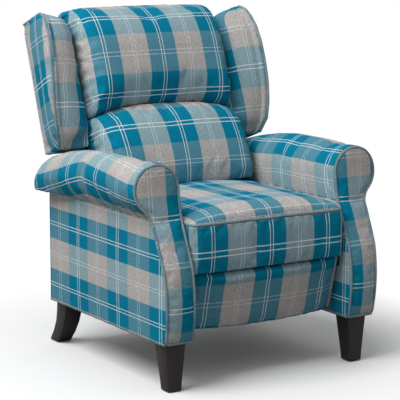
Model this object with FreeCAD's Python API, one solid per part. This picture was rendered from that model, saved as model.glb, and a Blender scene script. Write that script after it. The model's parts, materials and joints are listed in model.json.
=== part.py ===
"""Wingback push-back recliner in tartan cloth, built as separate named pieces.

Millimetres, +Z up. The front of the chair faces -Y, and +X is to the right of a person who
faces the chair. While modelling, Y is counted from the front face of the front feet. Every
piece is moved by -MIDDLE_Y when it is written, so that the origin of the finished part is the
centre of its bounding box, on the floor.

Pieces that exist twice are drawn for the right side and mirrored for the left side.
"""
import FreeCAD
import Part
import math
import os

V = FreeCAD.Vector

# Whole chair
MIDDLE_Y = 379.2         # middle of the depth, from the front face of the front feet
BODY_BOTTOM = 137.0      # underside of the upholstered sides
COVER = 10.0             # board, wadding and cloth of a covered panel
GAP = 3.0                # free space beside a piece that moves

# Arms
ARM_INNER = 257.0        # seat side of the arm
ARM_OUTER = 350.0        # outside of the arm below its roll
ARM_REAR = 638.0         # rear end of the side panels
ROLL_X = 328.5           # centre of the scroll
ROLL_Z = 548.0
ROLL_R = 71.5
ROLL_SEAM = 470.0        # seam under the roll
ROLL_RIDGE = ((20, 619.5), (330, 619), (430, 609), (525, 593), (638, 566))
ROLL_END = ((606.0, 640.0), (606.0, 576.0), (629.0, 562.0), (638.0, 535.0))   # y, z of its rounding
FACING_THICK = 17.0
PIPING = 8.0             # width of the covered cord
FRONT_LINE = ((-18, 130), (-33, 250), (-20, 345), (8, 408), (35, 465), (47, 520), (50, 640))
POST_DEPTH = 40.0        # front to back, of the arm's timber posts
RAIL = 35.0              # height of the arm's timber rails

# Legs
FOOT = 41.0              # side of a foot
LEG_TOP = 62.0           # side of a leg where it meets the body
LEG_X = 303.0            # middle of every leg
GLIDE_R = 14.0
GLIDE_T = 3.0
BOLT_R = 4.0
BOLT_HEAD_R = 9.0
BOLT_GRIP = 25.0         # height of a bolt head over the underside of the arm
BOLT_HEAD_T = 6.0
BOLT_DEPTH = 38.0        # of the bolt in the leg
BOLT_PLAY = 0.2          # radial clearance of a bolt and its head in the timber
# Middle of each leg from its top down to the glide: y, z
FRONT_LEG_LINE = ((LEG_TOP / 2 - 5.0, BODY_BOTTOM), (FOOT / 2, GLIDE_T))
REAR_LEG_SWEEP = ((605.0, BODY_BOTTOM), (620.0, 75.0), (670.0, GLIDE_T))
REAR_LEG_SIDES = (56.0, 48.0, FOOT)

# Seat
SEAT_HALF = ARM_INNER - GAP
SEAT_FRONT = -8.0
SEAT_REAR = 524.0
SEAT_FRAME_REAR = 500.0
SEAM_Z = 452.0           # piping round the front edge of the seat
BORDER_BOTTOM = 318.0
BORDER_THICK = 25.0
SEAT_CROWN = 38.0        # height of the crown over the piping
SEAT_RAIL_Z = (345.0, 385.0)
SEAT_RAIL_X = (214.0, 244.0)
STRAP = 2.0              # thickness of the webbing
STRAP_WIDE = 50.0

# Back, drawn upright with its rear face at y = 0 and its lower edge at z = 0, then leaned
BACK_RAKE = 20.0
BACK_FOOT = (575.6, 345.0)   # y, z of the lower rear edge once leaned
BACK_TOP = 640.0
BACK_HALF = 250.0        # half width between the arms
BACK_OUTER = 353.0       # half width over the wings, at the rear
WING_BOTTOM = 240.0
BACK_SKIN = 8.0
WING_FRAME_X = (322.0, 336.0)
WING_FRAME_INSET = 50.0  # from the wing's edge to its timber
WING_ROOT = (247.0, 62.0)    # where the padded inside of a wing meets the pillow: x, depth
POST = (10.0, 45.0)      # depth from the rear face, of the back's timber frame
CREASE = 300.0           # height of the crease between the two pillows, at its ends
CREASE_RISE = 36.0       # how much higher the crease is in the middle
PILLOW_HALF = 243.0
# Front edge of a wing: height, depth in front of the rear face, half width of the chair there
WING_EDGE = ((240, 96, 357), (275, 126, 371), (325, 143, 377), (385, 158, 378), (445, 168, 375),
             (505, 173, 371), (560, 169, 366), (605, 157, 361), (630, 140, 357), (644, 116, 354))

# Motion
RECLINE_PIVOT = (550.0, 390.0)
REAR_PIVOT = (90.0, 285.0)       # rear footrest link on the seat
KNEE = (305.0, 210.6)            # joint of the two links, when closed
PANEL_PIVOT = (78.0, 240.0)      # front link on the footrest, when closed
PIN_R = 6.0
RUN = 0.05                       # radial clearance of a pin in its hole
LINK_HALF = 11.0                 # half width of a link
MECH_X = (251.0, 257.0)          # fixed plate on the arm
SEAT_PLATE_X = (244.0, 249.0)
BACK_PLATE_X = (243.0, 248.0)
REAR_LINK_X = (234.0, 239.0)
FRONT_LINK_X = (226.0, 231.0)
FOOT_PLATE_X = (219.0, 224.0)
TUBE_R = 10.0

# Footrest panel, closed: upper and lower front edge of its board
BOARD_TOP = (22.0, 312.0)
BOARD_BOTTOM = (60.0, 160.0)
BOARD_T = 14.0
BOARD_HALF = 232.0
PAD_HALF = 250.0
PAD_DEPTH = 30.0

NODES = {}


def yz(x):
    """Returns a function that puts a (y, z) pair on the plane at x."""
    return lambda y, z: V(x, y, z)


def xz(y):
    """Returns a function that puts an (x, z) pair on the plane at y."""
    return lambda x, z: V(x, y, z)


def xy(z):
    """Returns a function that puts an (x, y) pair on the plane at z."""
    return lambda x, y: V(x, y, z)


def wire(place, start, steps):
    """Closed outline. A step is an end point, or a pair of points for an arc through the first."""
    edges = []
    here = start
    for step in steps:
        if isinstance(step[0], tuple):
            middle, end = step
            edges.append(Part.Arc(place(*here), place(*middle), place(*end)).toShape())
        else:
            end = step
            edges.append(Part.LineSegment(place(*here), place(*end)).toShape())
        here = end
    if math.dist(here, start) > 1e-6:
        edges.append(Part.LineSegment(place(*here), place(*start)).toShape())
    return Part.Wire(edges)


def prism(outline, along):
    """Solid from a flat closed outline, extruded by the vector."""
    return Part.Face(outline).extrude(along)


def plate(x_span, start, steps):
    """Flat piece that lies in a Y-Z plane, between two x values."""
    return prism(wire(yz(x_span[0]), start, steps), V(x_span[1] - x_span[0], 0, 0))


def box(x_span, y_span, z_span):
    return Part.makeBox(x_span[1] - x_span[0], y_span[1] - y_span[0], z_span[1] - z_span[0],
                        V(x_span[0], y_span[0], z_span[0]))


def rod(radius, x_span, spot):
    """Round bar along X through the (y, z) spot."""
    return Part.makeCylinder(radius, x_span[1] - x_span[0], V(x_span[0], *spot), V(1, 0, 0))


def mirrored(shape):
    return shape.mirror(V(0, 0, 0), V(1, 0, 0))


def add(name, *solids):
    """Stores a node that holds one or more separate solids."""
    NODES[name] = solids[0] if len(solids) == 1 else Part.makeCompound(list(solids))


def add_pair(name, shape):
    """Stores the right-hand piece and its mirror image."""
    add("right_" + name, shape)
    add("left_" + name, mirrored(shape))


def lean(shape):
    """Leans an upright piece of the back into its place."""
    leaned = shape.copy()
    leaned.rotate(V(0, 0, 0), V(1, 0, 0), -BACK_RAKE)
    leaned.translate(V(0, *BACK_FOOT))
    return leaned


def upright(spot):
    """The (y, z) of a place on the leaned back, as it is before the back is leaned."""
    a = math.radians(BACK_RAKE)
    dy = spot[0] - BACK_FOOT[0]
    dz = spot[1] - BACK_FOOT[1]
    return (dy * math.cos(a) - dz * math.sin(a), dy * math.sin(a) + dz * math.cos(a))


def behind(offset):
    """Everything behind the front line of the arms, moved back by the offset."""
    p = [(y + offset, z) for y, z in FRONT_LINE]
    curve = [(p[1], p[2]), (p[3], p[4]), (p[5], p[6])]
    return plate((200.0, 460.0), p[0], curve + [(720.0, p[6][1]), (720.0, p[0][1])])


def scroll(inset):
    """Front outline of an arm, drawn inward by the inset, as a prism along Y."""
    r = ROLL_R - inset
    low = math.radians(-50)
    neck = (ROLL_X + r * math.cos(low), ROLL_Z + r * math.sin(low))
    foot = (347.0 - inset, BODY_BOTTOM + inset)
    waist = (356.0 - inset, 440.0)
    inner = ARM_INNER + inset
    outline = wire(xz(-80.0), (inner, BODY_BOTTOM + inset), [
        foot,
        waist,
        ((359.0 - inset, 470.0), neck),
        ((ROLL_X + r * math.cos(low / 2), ROLL_Z + r * math.sin(low / 2)), (ROLL_X + r, ROLL_Z)),
        ((ROLL_X, ROLL_Z + r), (inner, ROLL_Z)),
    ])
    return prism(outline, V(0, 240, 0))


def roll_section(y, ridge):
    """Cross-section of the arm roll at y, with its top at the ridge height."""
    centre = ridge - ROLL_R
    drop = min(0.8 * ROLL_R, centre - ROLL_SEAM - 4.0)
    low = math.asin(drop / ROLL_R)
    side = (ROLL_X + ROLL_R * math.cos(low / 2), centre - ROLL_R * math.sin(low / 2))
    return wire(xz(y), (ROLL_X - ROLL_R, ROLL_SEAM), [
        (ARM_OUTER + 2.0, ROLL_SEAM),
        (ROLL_X + ROLL_R * math.cos(low), centre - drop),
        (side, (ROLL_X + ROLL_R, centre)),
        ((ROLL_X, ridge), (ROLL_X - ROLL_R, centre)),
    ])


def arm_roll():
    """Padded scroll along the arm, falling towards the rear, with a rounded rear end."""
    roll = Part.makeLoft([roll_section(y, ridge) for y, ridge in ROLL_RIDGE], True, False)
    above, start, through, end = ROLL_END
    rounding = plate((200.0, 460.0), above, [start, (through, end), (700.0, end[1]), (700.0, above[1])])
    return roll.common(behind(FACING_THICK)).cut(rounding)


def arms():
    inside = (ARM_INNER + COVER, ARM_OUTER - COVER)
    body = behind(FACING_THICK)
    low = (BODY_BOTTOM, BODY_BOTTOM + RAIL)
    high = (ROLL_SEAM - RAIL, ROLL_SEAM)
    between = (low[1], high[0])
    span = (-80.0, ARM_REAR)

    cord = scroll(0.0).cut(scroll(PIPING)).common(behind(-3.0)).cut(behind(5.0))
    facing = scroll(0.0).common(behind(0.0)).cut(body).cut(cord)
    add_pair("facing_piping", cord)
    add_pair("arm_facing", facing)
    add_pair("arm_roll", arm_roll())
    side = box((inside[1], ARM_OUTER), span, (low[0], high[1])).common(body)
    end = box((ARM_INNER, ARM_OUTER), (ARM_REAR, ARM_REAR + 4.0), (low[0], high[1]))
    add_pair("outer_side_panel", side.fuse(end).removeSplitter())
    add_pair("inner_arm_panel", box((ARM_INNER, inside[0]), span, (low[0], high[1])).common(body))
    front = box(inside, span, between).common(body).cut(behind(FACING_THICK + POST_DEPTH))
    rear = box(inside, (ARM_REAR - POST_DEPTH, ARM_REAR), between)
    add_pair("arm_posts", Part.makeCompound([front, rear]))
    bottom_rail = box(inside, span, low).common(body)
    for y, z in (FRONT_LEG_LINE[0], REAR_LEG_SWEEP[0]):
        hole = Part.makeCylinder(BOLT_R + BOLT_PLAY, RAIL, V(LEG_X, y, z))
        seat = Part.makeCylinder(BOLT_HEAD_R + BOLT_PLAY, RAIL, V(LEG_X, y, z + BOLT_GRIP))
        bottom_rail = bottom_rail.cut(hole.fuse(seat))
    top_rail = box(inside, span, high).common(body)
    add_pair("arm_rails", Part.makeCompound([bottom_rail, top_rail]))
    add("rear_rail", box((-ARM_INNER, ARM_INNER), (612.0, ARM_REAR), (150.0, 325.0)))


def square(middle, side, z):
    """Square outline at height z, about the (x, y) middle."""
    x, y = middle
    h = side / 2
    return wire(xy(z), (x - h, y - h), [(x + h, y - h), (x + h, y + h), (x - h, y + h)])


def leg(stations, sides):
    """Tapered leg, open for its bolt. A station is (y, z), and each has its own side length."""
    sections = [square((LEG_X, y), side, z) for (y, z), side in zip(stations, sides)]
    depth = BOLT_DEPTH + 2.0
    bolt_hole = Part.makeCylinder(BOLT_R + BOLT_PLAY, depth, V(LEG_X, stations[0][0], BODY_BOTTOM - depth))
    return Part.makeLoft(sections, True, len(sections) == 2).cut(bolt_hole)


def legs():
    add_pair("front_leg", leg(FRONT_LEG_LINE, (LEG_TOP, FOOT)))
    add_pair("rear_leg", leg(REAR_LEG_SWEEP, REAR_LEG_SIDES))
    bolts = []
    glides = []
    for x in (-LEG_X, LEG_X):
        for line in (FRONT_LEG_LINE, REAR_LEG_SWEEP):
            y, z = line[0]
            shank = Part.makeCylinder(BOLT_R, BOLT_GRIP + BOLT_DEPTH, V(x, y, z - BOLT_DEPTH))
            head = Part.makeCylinder(BOLT_HEAD_R, BOLT_HEAD_T, V(x, y, z + BOLT_GRIP))
            bolts.append(shank.fuse(head))
            glides.append(Part.makeCylinder(GLIDE_R, GLIDE_T, V(x, line[-1][0], 0)))
    add("leg_bolts", *bolts)
    add("foot_glides", *glides)


def bulge(x, half, power=3.0):
    """1 on the middle line and 0 at the ends of a cushion."""
    return 1.0 - (abs(x) / half) ** power


def stations(half):
    return (-half, -0.9 * half, -0.55 * half, 0.0, 0.55 * half, 0.9 * half, half)


def seat_section(x):
    """Crowned section of the seat cushion on the plane at x."""
    rise = 12.0 + (SEAT_CROWN - 12.0) * bulge(x, SEAT_HALF)
    low = SEAT_RAIL_Z[1] + STRAP
    front = SEAT_FRONT + 2.0
    edge = SEAM_Z + 4.6
    return wire(yz(x), (front, low), [
        (front, edge),
        ((front + 14.0, edge + 0.62 * rise), (front + 70.0, edge + 0.92 * rise)),
        ((200.0, edge + rise), (380.0, edge + 0.55 * rise)),
        ((470.0, edge + 0.2 * rise), (SEAT_REAR, 448.0)),
        (SEAT_REAR, low),
    ])


def seat_plan(inset):
    """Plan of the seat's front with rounded corners."""
    front = SEAT_FRONT + inset
    side = SEAT_HALF - inset
    r = 26.0 - inset
    k = r * (1 - math.sqrt(0.5))
    return front, side, r, k


def seat():
    front, side, r, k = seat_plan(0.0)
    base = Part.makeLoft([seat_section(x) for x in stations(SEAT_HALF)], True, False)
    rounding = prism(wire(xy(300.0), (side, 560.0), [
        (side, front + r),
        ((side - k, front + k), (side - r, front)),
        (r - side, front),
        ((k - side, front + k), (-side, front + r)),
        (-side, 560.0),
    ]), V(0, 0, 300))
    step = box((-300, 300), (-60, front + BORDER_THICK), (300, SEAM_Z + 4.6))
    cord = seat_piping()
    add("seat_cushion", base.common(rounding).cut(step).cut(cord))

    border = rounding.common(box((-300, 300), (-60, front + BORDER_THICK),
                                 (BORDER_BOTTOM, SEAM_Z - 4.6)))
    add("seat_front_border", border)
    add("seat_piping", cord)

    low, high = SEAT_RAIL_Z
    inner, outer = SEAT_RAIL_X
    rail_front = front + BORDER_THICK
    add("seat_side_rails",
        box((inner, outer), (rail_front, SEAT_FRAME_REAR), (low, high)),
        box((-outer, -inner), (rail_front, SEAT_FRAME_REAR), (low, high)))
    add("seat_cross_rails",
        box((-inner, inner), (rail_front, rail_front + POST_DEPTH), (low, high)),
        box((-inner, inner), (SEAT_FRAME_REAR - 30, SEAT_FRAME_REAR), (low, high)))
    step_x = 2 * (inner - STRAP_WIDE / 2) / 5
    straps = []
    for i in range(6):
        x = -(inner - STRAP_WIDE / 2) + i * step_x
        straps.append(box((x - STRAP_WIDE / 2, x + STRAP_WIDE / 2),
                          (rail_front, SEAT_FRAME_REAR), (high, high + STRAP)))
    add("seat_webbing", *straps)


def seat_piping():
    """Covered cord round the front edge of the seat."""
    front, side, r, k = seat_plan(PIPING / 2)
    place = xy(SEAM_Z)
    ends = 60.0
    edges = [
        Part.LineSegment(place(side, ends), place(side, front + r)).toShape(),
        Part.Arc(place(side, front + r), place(side - k, front + k), place(side - r, front)).toShape(),
        Part.LineSegment(place(side - r, front), place(r - side, front)).toShape(),
        Part.Arc(place(r - side, front), place(k - side, front + k), place(-side, front + r)).toShape(),
        Part.LineSegment(place(-side, front + r), place(-side, ends)).toShape(),
    ]
    ring = Part.Wire([Part.Circle(place(side, ends), V(0, 1, 0), PIPING / 2).toShape()])
    return Part.Wire(edges).makePipeShell([ring], True, False)


def upper_pillow_section(x):
    """Section of the upper back pillow on the plane at x, upright."""
    b = bulge(x, PILLOW_HALF)
    low = CREASE + 4.0 + CREASE_RISE * b
    deep = -(136.0 + 38.0 * b)
    rear = -POST[1] - STRAP
    top = BACK_TOP + 10.0 + 8.0 * b
    return wire(yz(x), (rear, low + 14.0), [
        (deep + 34.0, low),
        ((deep + 12.0, low + 8.0), (deep + 3.0, low + 34.0)),
        ((deep - 4.0, 470.0), (deep + 6.0, BACK_TOP - 48.0)),
        ((deep + 26.0, top - 14.0), (deep + 62.0, top)),
        ((-0.5 * (BACK_SKIN + 70.0), top - 3.0), (-BACK_SKIN, BACK_TOP - 3.0)),
        (-BACK_SKIN, BACK_TOP - 9.0),
        (rear, BACK_TOP - 9.0),
    ])


def lumbar_pillow_section(x):
    """Section of the lumbar pillow on the plane at x, upright."""
    b = bulge(x, PILLOW_HALF)
    high = CREASE - 4.0 + CREASE_RISE * b
    deep = -(178.0 + 22.0 * b)
    rear = -POST[1] - STRAP
    return wire(yz(x), (rear, 116.0), [
        (deep + 30.0, 84.0),
        ((deep + 8.0, 88.0), (deep, 112.0)),
        ((deep + 1.0, 175.0), (deep + 22.0, high - 44.0)),
        ((deep + 32.0, high - 12.0), (deep + 58.0, high)),
        (rear, high),
    ])


def wing_section(height, depth, outer):
    """Plan of a padded wing at one height, upright: flat outside, swelling inside."""
    rear = -BACK_SKIN
    root = (WING_ROOT[0], -WING_ROOT[1])
    lip = (outer - 22.0, -depth + 10.0)
    chord = (lip[0] - root[0], lip[1] - root[1])
    long = math.hypot(*chord)
    swell = 11.0
    middle = (0.5 * (root[0] + lip[0]) + swell * chord[1] / long,
              0.5 * (root[1] + lip[1]) - swell * chord[0] / long)
    return wire(xy(height), (root[0], rear), [
        (BACK_OUTER, rear),
        (outer, -depth + 11.0),
        ((outer - 11.0, -depth), lip),
        (middle, root),
    ])


def wing_board(inset):
    """Timber shape inside a wing, upright, drawn inward by the inset."""
    rear = -BACK_SKIN - inset
    low = WING_BOTTOM + inset
    high = BACK_TOP - inset
    front = [(inset - depth, height) for height, depth, outer in WING_EDGE if low < height < high]
    return plate(WING_FRAME_X, (rear, low), front + [(-80.0, high), (rear, high)])


def back():
    outer = BACK_PLATE_X[0]
    inner = outer - 30.0
    post_y = (-POST[1], -POST[0])
    left_post = box((-outer, -inner), post_y, (0, BACK_TOP - 10))
    right_post = box((inner, outer), post_y, (0, BACK_TOP - 10))
    add("back_posts", lean(left_post), lean(right_post))
    rails = [lean(box((-inner, inner), post_y, (z, z + 45.0)))
             for z in (0.0, CREASE - 20.0, BACK_TOP - 55.0)]
    add("back_rails", *rails)
    straps = [lean(box((-inner - 30, inner + 30), (-POST[1] - STRAP, -POST[1]), (z, z + STRAP_WIDE)))
              for z in range(130, 580, 75)]
    add("back_webbing", *straps)

    edges = stations(PILLOW_HALF)
    upper = Part.makeLoft([upper_pillow_section(x) for x in edges], True, False)
    lumbar = Part.makeLoft([lumbar_pillow_section(x) for x in edges], True, False)
    add("upper_back_cushion", lean(upper))
    add("lumbar_cushion", lean(lumbar))

    r = 34.0
    k = r * (1 - math.sqrt(0.5))
    top = prism(wire(xz(-BACK_SKIN), (-BACK_OUTER, WING_BOTTOM), [
        (BACK_OUTER, WING_BOTTOM),
        (BACK_OUTER, BACK_TOP - r),
        ((BACK_OUTER - k, BACK_TOP - k), (BACK_OUTER - r, BACK_TOP)),
        (r - BACK_OUTER, BACK_TOP),
        ((k - BACK_OUTER, BACK_TOP - k), (-BACK_OUTER, BACK_TOP - r)),
    ]), V(0, BACK_SKIN, 0))
    add("outer_back_panel", lean(top))
    add("lower_back_panel", lean(box((-BACK_HALF, BACK_HALF), (-BACK_SKIN, 0), (0, WING_BOTTOM))))
    wings()


def wings():
    sections = [wing_section(*edge) for edge in WING_EDGE]
    body = Part.makeLoft(sections, True, False)
    board = wing_board(WING_FRAME_INSET)
    cord = wing_piping()
    add_pair("wing", lean(body.cut(board).cut(cord)))
    add_pair("wing_frame", lean(board))
    add_pair("wing_piping", lean(cord))


def wing_piping():
    """Covered cord down the front edge of the wing's outer face."""
    spots = [V(outer + 1.0, -depth + 8.0, height) for height, depth, outer in WING_EDGE]
    spine = Part.BSplineCurve()
    spine.interpolate(spots)
    path = Part.Wire([spine.toShape()])
    start = spine.tangent(spine.FirstParameter)[0]
    ring = Part.Wire([Part.Circle(spots[0], start, PIPING / 2).toShape()])
    return path.makePipeShell([ring], True, False)


def link(x_span, start, end, holes):
    """Flat bar with round ends between two (y, z) pivots, with running holes at some of them."""
    a = V(0, *start)
    b = V(0, *end)
    along = (b - a).normalize()
    across = V(0, -along.z, along.y) * LINK_HALF
    tip = along * LINK_HALF

    def flat(v):
        return (v.y, v.z)

    bar = plate(x_span, flat(a + across), [
        (flat(a - tip), flat(a - across)),
        flat(b - across),
        (flat(b + tip), flat(b + across)),
    ])
    for spot in holes:
        bar = bar.cut(rod(PIN_R + RUN, (x_span[0] - 1, x_span[1] + 1), spot))
    return bar


def pin(x_from, x_to, spot, collar):
    """Pin from the face it stands on, with a collar 3 mm thick at its free end."""
    shank = rod(PIN_R, (min(x_from, x_to), max(x_from, x_to)), spot)
    side = 3.0 if x_to < x_from else -3.0
    return shank.fuse(rod(collar, (min(x_to, x_to + side), max(x_to, x_to + side)), spot))


def mechanism():
    fixed = plate(MECH_X, (20.0, 285.0), [
        (560.0, 285.0), (572.0, 320.0), (570.0, 390.0),
        ((550.0, 410.0), (530.0, 390.0)),
        (520.0, 340.0), (20.0, 340.0),
    ])
    runner = box((SEAT_PLATE_X[0], MECH_X[0]), (140.0, 505.0), (312.0, 318.0))
    add_pair("mechanism_rail", fixed.fuse(runner))
    pivot = rod(PIN_R, (BACK_PLATE_X[0] + 0.3, MECH_X[0]), RECLINE_PIVOT)
    add("recline_pins", pivot, mirrored(pivot))
    tubes = [rod(TUBE_R, (-MECH_X[0], MECH_X[0]), spot) for spot in ((350.0, 300.0), (470.0, 298.0))]
    add("mechanism_cross_tubes", *tubes)

    y, z = REAR_PIVOT
    ear = 15.0
    seat_plate = plate(SEAT_PLATE_X, (y - ear, 318.3), [
        (y - ear, z), ((y, z - ear), (y + ear, z)), (y + ear, 318.3),
        (480.0, 318.3), (480.0, 380.0), (30.0, 380.0), (30.0, 318.3),
    ])
    add_pair("seat_bracket", seat_plate)
    seat_pin = pin(SEAT_PLATE_X[0], REAR_LINK_X[0] - 4.0, REAR_PIVOT, 10.0)
    add("rear_pivot_pins", seat_pin, mirrored(seat_pin))

    pivot_y, pivot_z = upright(RECLINE_PIVOT)
    back_plate = plate(BACK_PLATE_X, (-POST[0], 8.0), [
        (-POST[0], 190.0), (-POST[1], 190.0), (-POST[1] - 6.0, 40.0),
        ((pivot_y, pivot_z - 18.0), (-24.0, 12.0)),
    ])
    hole = rod(PIN_R + RUN, (BACK_PLATE_X[0] - 1, BACK_PLATE_X[1] + 1), (pivot_y, pivot_z))
    add_pair("back_bracket", lean(back_plate.cut(hole)))


def footrest_pivots():
    """Links, their pins and the tube that ties them, folded under the seat."""
    add_pair("rear_link", link(REAR_LINK_X, REAR_PIVOT, KNEE, [REAR_PIVOT]))
    add_pair("front_link", link(FRONT_LINK_X, KNEE, PANEL_PIVOT, [KNEE, PANEL_PIVOT]))
    knee = pin(REAR_LINK_X[0], FRONT_LINK_X[0] - 4.0, KNEE, 10.0)
    add("knee_pins", knee, mirrored(knee))
    a = V(0, *REAR_PIVOT)
    spot = a + (V(0, *KNEE) - a).normalize() * 50.0
    add("link_cross_tube", rod(TUBE_R - 1, (-REAR_LINK_X[0], REAR_LINK_X[0]), (spot.y, spot.z)))


def on_board(down, depth):
    """Y, z of a spot on the footrest: distance down its board and depth in front of it."""
    a = V(0, *BOARD_TOP)
    along = (V(0, *BOARD_BOTTOM) - a).normalize()
    out = V(0, along.z, -along.y)
    spot = a + along * down + out * depth
    return (spot.y, spot.z)


def pad_section(x):
    """Bulging section of the footrest pad on the plane at x."""
    b = bulge(x, PAD_HALF, 4.0)
    deep = 10.0 + (PAD_DEPTH - 4.0) * b
    length = math.dist(BOARD_TOP, BOARD_BOTTOM)
    return wire(yz(x), on_board(-2.0, 0.0), [
        on_board(-2.0, 0.55 * deep),
        (on_board(5.0, 0.9 * deep), on_board(22.0, deep)),
        (on_board(0.55 * length, deep + 4.0), on_board(length - 18.0, 0.82 * deep)),
        (on_board(length - 2.0, 0.6 * deep), on_board(length + 4.0, 0.2 * deep)),
        on_board(length + 4.0, 0.0),
    ])


def footrest():
    length = math.dist(BOARD_TOP, BOARD_BOTTOM)
    board = plate((-BOARD_HALF, BOARD_HALF), on_board(2.0, 0.0), [
        on_board(length - 2.0, 0.0), on_board(length - 2.0, -BOARD_T), on_board(2.0, -BOARD_T),
    ])
    add("footrest_board", board)
    pad = Part.makeLoft([pad_section(x) for x in stations(PAD_HALF)], True, False)
    add("footrest_pad", pad)
    y, z = PANEL_PIVOT
    r = 13.0
    bracket = plate(FOOT_PLATE_X, on_board(40.0, -BOARD_T), [
        (y, z + r), ((y + r, z), (y, z - r)), on_board(112.0, -BOARD_T),
    ])
    add("footrest_brackets", bracket, mirrored(bracket))
    stud = pin(FOOT_PLATE_X[1], FRONT_LINK_X[1] + 4.0, PANEL_PIVOT, 10.0)
    add("footrest_pins", stud, mirrored(stud))


def write():
    os.makedirs("parts", exist_ok=True)
    for name, shape in NODES.items():
        moved = shape.copy()
        moved.translate(V(0, -MIDDLE_Y, 0))
        moved.exportStep("parts/" + name + ".step")
        b = moved.BoundBox
        print(f"{name:24s} valid {moved.isValid()} solids {len(moved.Solids)} "
              f"volume {moved.Volume / 1000:9.1f} cm3  x {b.XMin:7.1f} {b.XMax:7.1f}  "
              f"y {b.YMin:7.1f} {b.YMax:7.1f}  z {b.ZMin:7.1f} {b.ZMax:7.1f}")


def main():
    arms()
    legs()
    seat()
    back()
    mechanism()
    footrest_pivots()
    footrest()
    write()
    print(len(NODES), "nodes")


main()
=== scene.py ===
"""Looks of a wingback push-back recliner in teal, grey and white tartan cloth.

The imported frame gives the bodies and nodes. Every soft piece is modelled here around them, in
the frame of the chair: sizes are written in millimetres, with Y counted from the front face of
the front feet, and become metres about the middle of the chair when a mesh is made.
"""
from __future__ import annotations

import json
import logging
import math
from dataclasses import dataclass
from enum import Enum
from functools import lru_cache
from typing import Callable, Iterable

import bmesh
import bpy
import numpy as np
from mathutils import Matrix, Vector, noise

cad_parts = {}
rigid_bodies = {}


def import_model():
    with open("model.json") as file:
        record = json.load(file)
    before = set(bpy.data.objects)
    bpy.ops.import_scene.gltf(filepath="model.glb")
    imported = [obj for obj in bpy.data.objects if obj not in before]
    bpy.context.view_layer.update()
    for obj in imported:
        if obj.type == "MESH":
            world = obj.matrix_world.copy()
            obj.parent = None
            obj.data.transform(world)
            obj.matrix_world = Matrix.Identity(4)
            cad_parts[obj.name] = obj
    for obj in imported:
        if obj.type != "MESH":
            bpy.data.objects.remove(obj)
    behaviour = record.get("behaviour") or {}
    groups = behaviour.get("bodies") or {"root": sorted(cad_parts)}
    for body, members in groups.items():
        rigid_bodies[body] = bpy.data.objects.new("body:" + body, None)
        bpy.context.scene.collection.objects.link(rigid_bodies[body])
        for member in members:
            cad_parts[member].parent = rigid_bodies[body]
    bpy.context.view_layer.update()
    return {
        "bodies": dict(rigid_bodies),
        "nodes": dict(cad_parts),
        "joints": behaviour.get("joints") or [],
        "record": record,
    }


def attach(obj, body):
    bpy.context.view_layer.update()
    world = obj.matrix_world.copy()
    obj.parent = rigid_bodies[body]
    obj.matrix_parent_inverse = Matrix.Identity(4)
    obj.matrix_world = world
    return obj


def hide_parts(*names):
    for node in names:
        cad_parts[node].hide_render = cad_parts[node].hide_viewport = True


LOG = logging.getLogger("recliner")
MM = 0.001
MIDDLE_Y = 379.2          # middle of the depth, counted from the front feet
FRONT_LINE = ((-18.0, 130.0), (-33.0, 250.0), (-20.0, 345.0), (8.0, 408.0),
              (35.0, 465.0), (47.0, 520.0), (50.0, 640.0))
BODY_BOTTOM = 137.0
ARM_INNER = 257.0
ARM_OUTER = 350.0
ARM_REAR = 638.0
ARM_MIDDLE = (ARM_INNER + ARM_OUTER) / 2
ROLL_X, ROLL_Z, ROLL_R = 328.5, 548.0, 71.5
ROLL_SEAM = 470.0
ROLL_RIDGE = ((20.0, 619.5), (330.0, 619.0), (430.0, 609.0), (525.0, 593.0), (638.0, 566.0))
ROLL_FOLD = 345.0
PIPING_R = 4.0
SEAT_HALF = 254.0
SEAT_FRONT = -8.0
SEAT_REAR = 524.0
SEAM_Z = 452.0
BORDER_BOTTOM = 318.0
BORDER_THICK = 25.0
SEAT_BASE = 387.0
CORNER_R = 26.0
BACK_RAKE = math.radians(20.0)
BACK_FOOT = (575.6, 345.0)
BACK_TOP = 640.0
BACK_OUTER = 353.0
BACK_HALF = 250.0
BACK_SKIN = 8.0
WING_BOTTOM = 240.0
WING_TOP = 638.0
WING_EDGE = ((236, 92, 356), (275, 126, 371), (325, 143, 377), (385, 158, 378), (445, 168, 375),
             (505, 173, 371), (560, 169, 366), (597, 157, 361), (621, 143, 357), (WING_TOP, 118, 354))
WING_ROOT = ((236, 93), (260, 97), (300, 104), (555, 104), (592, 96), (WING_TOP, 90))
WING_SLOPE = ((580, 0.0), (595, 0.03), (605, 0.07), (612, 0.12), (619, 0.25), (625, 0.5), (631, 0.78),
              (WING_TOP, 0.95))
PILLOW_HALF = 243.0
PILLOW_REAR = 47.0
CREASE = 312.0
CREASE_RISE = 36.0
BOARD_TOP = (22.0, 312.0)
BOARD_BOTTOM = (60.0, 160.0)
PAD_HALF = 250.0

Pair = tuple[float, float]
Place = Callable[[float, float], Vector]


class Side(Enum):
    """The two sides of the chair, as a person who faces it sees them."""

    LEFT = "left"
    RIGHT = "right"


def spot(x: float, y: float, z: float) -> Vector:
    """Turns a modelling place in millimetres into metres in the chair's frame."""
    return Vector((x, y - MIDDLE_Y, z)) * MM


def leaned(x: float, height: float, depth: float) -> Vector:
    """Place on the raked back.

    Args:
        x: sideways place.
        height: distance up the back from its lower edge.
        depth: distance in front of the rear face.

    Returns:
        The place in metres.
    """
    y = BACK_FOOT[0] + height * math.sin(BACK_RAKE) - depth * math.cos(BACK_RAKE)
    z = BACK_FOOT[1] + height * math.cos(BACK_RAKE) + depth * math.sin(BACK_RAKE)
    return spot(x, y, z)


def smooth(t: float) -> float:
    """Eases 0 to 1 with no slope at either end."""
    t = min(max(t, 0.0), 1.0)
    return t * t * (3.0 - 2.0 * t)


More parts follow.
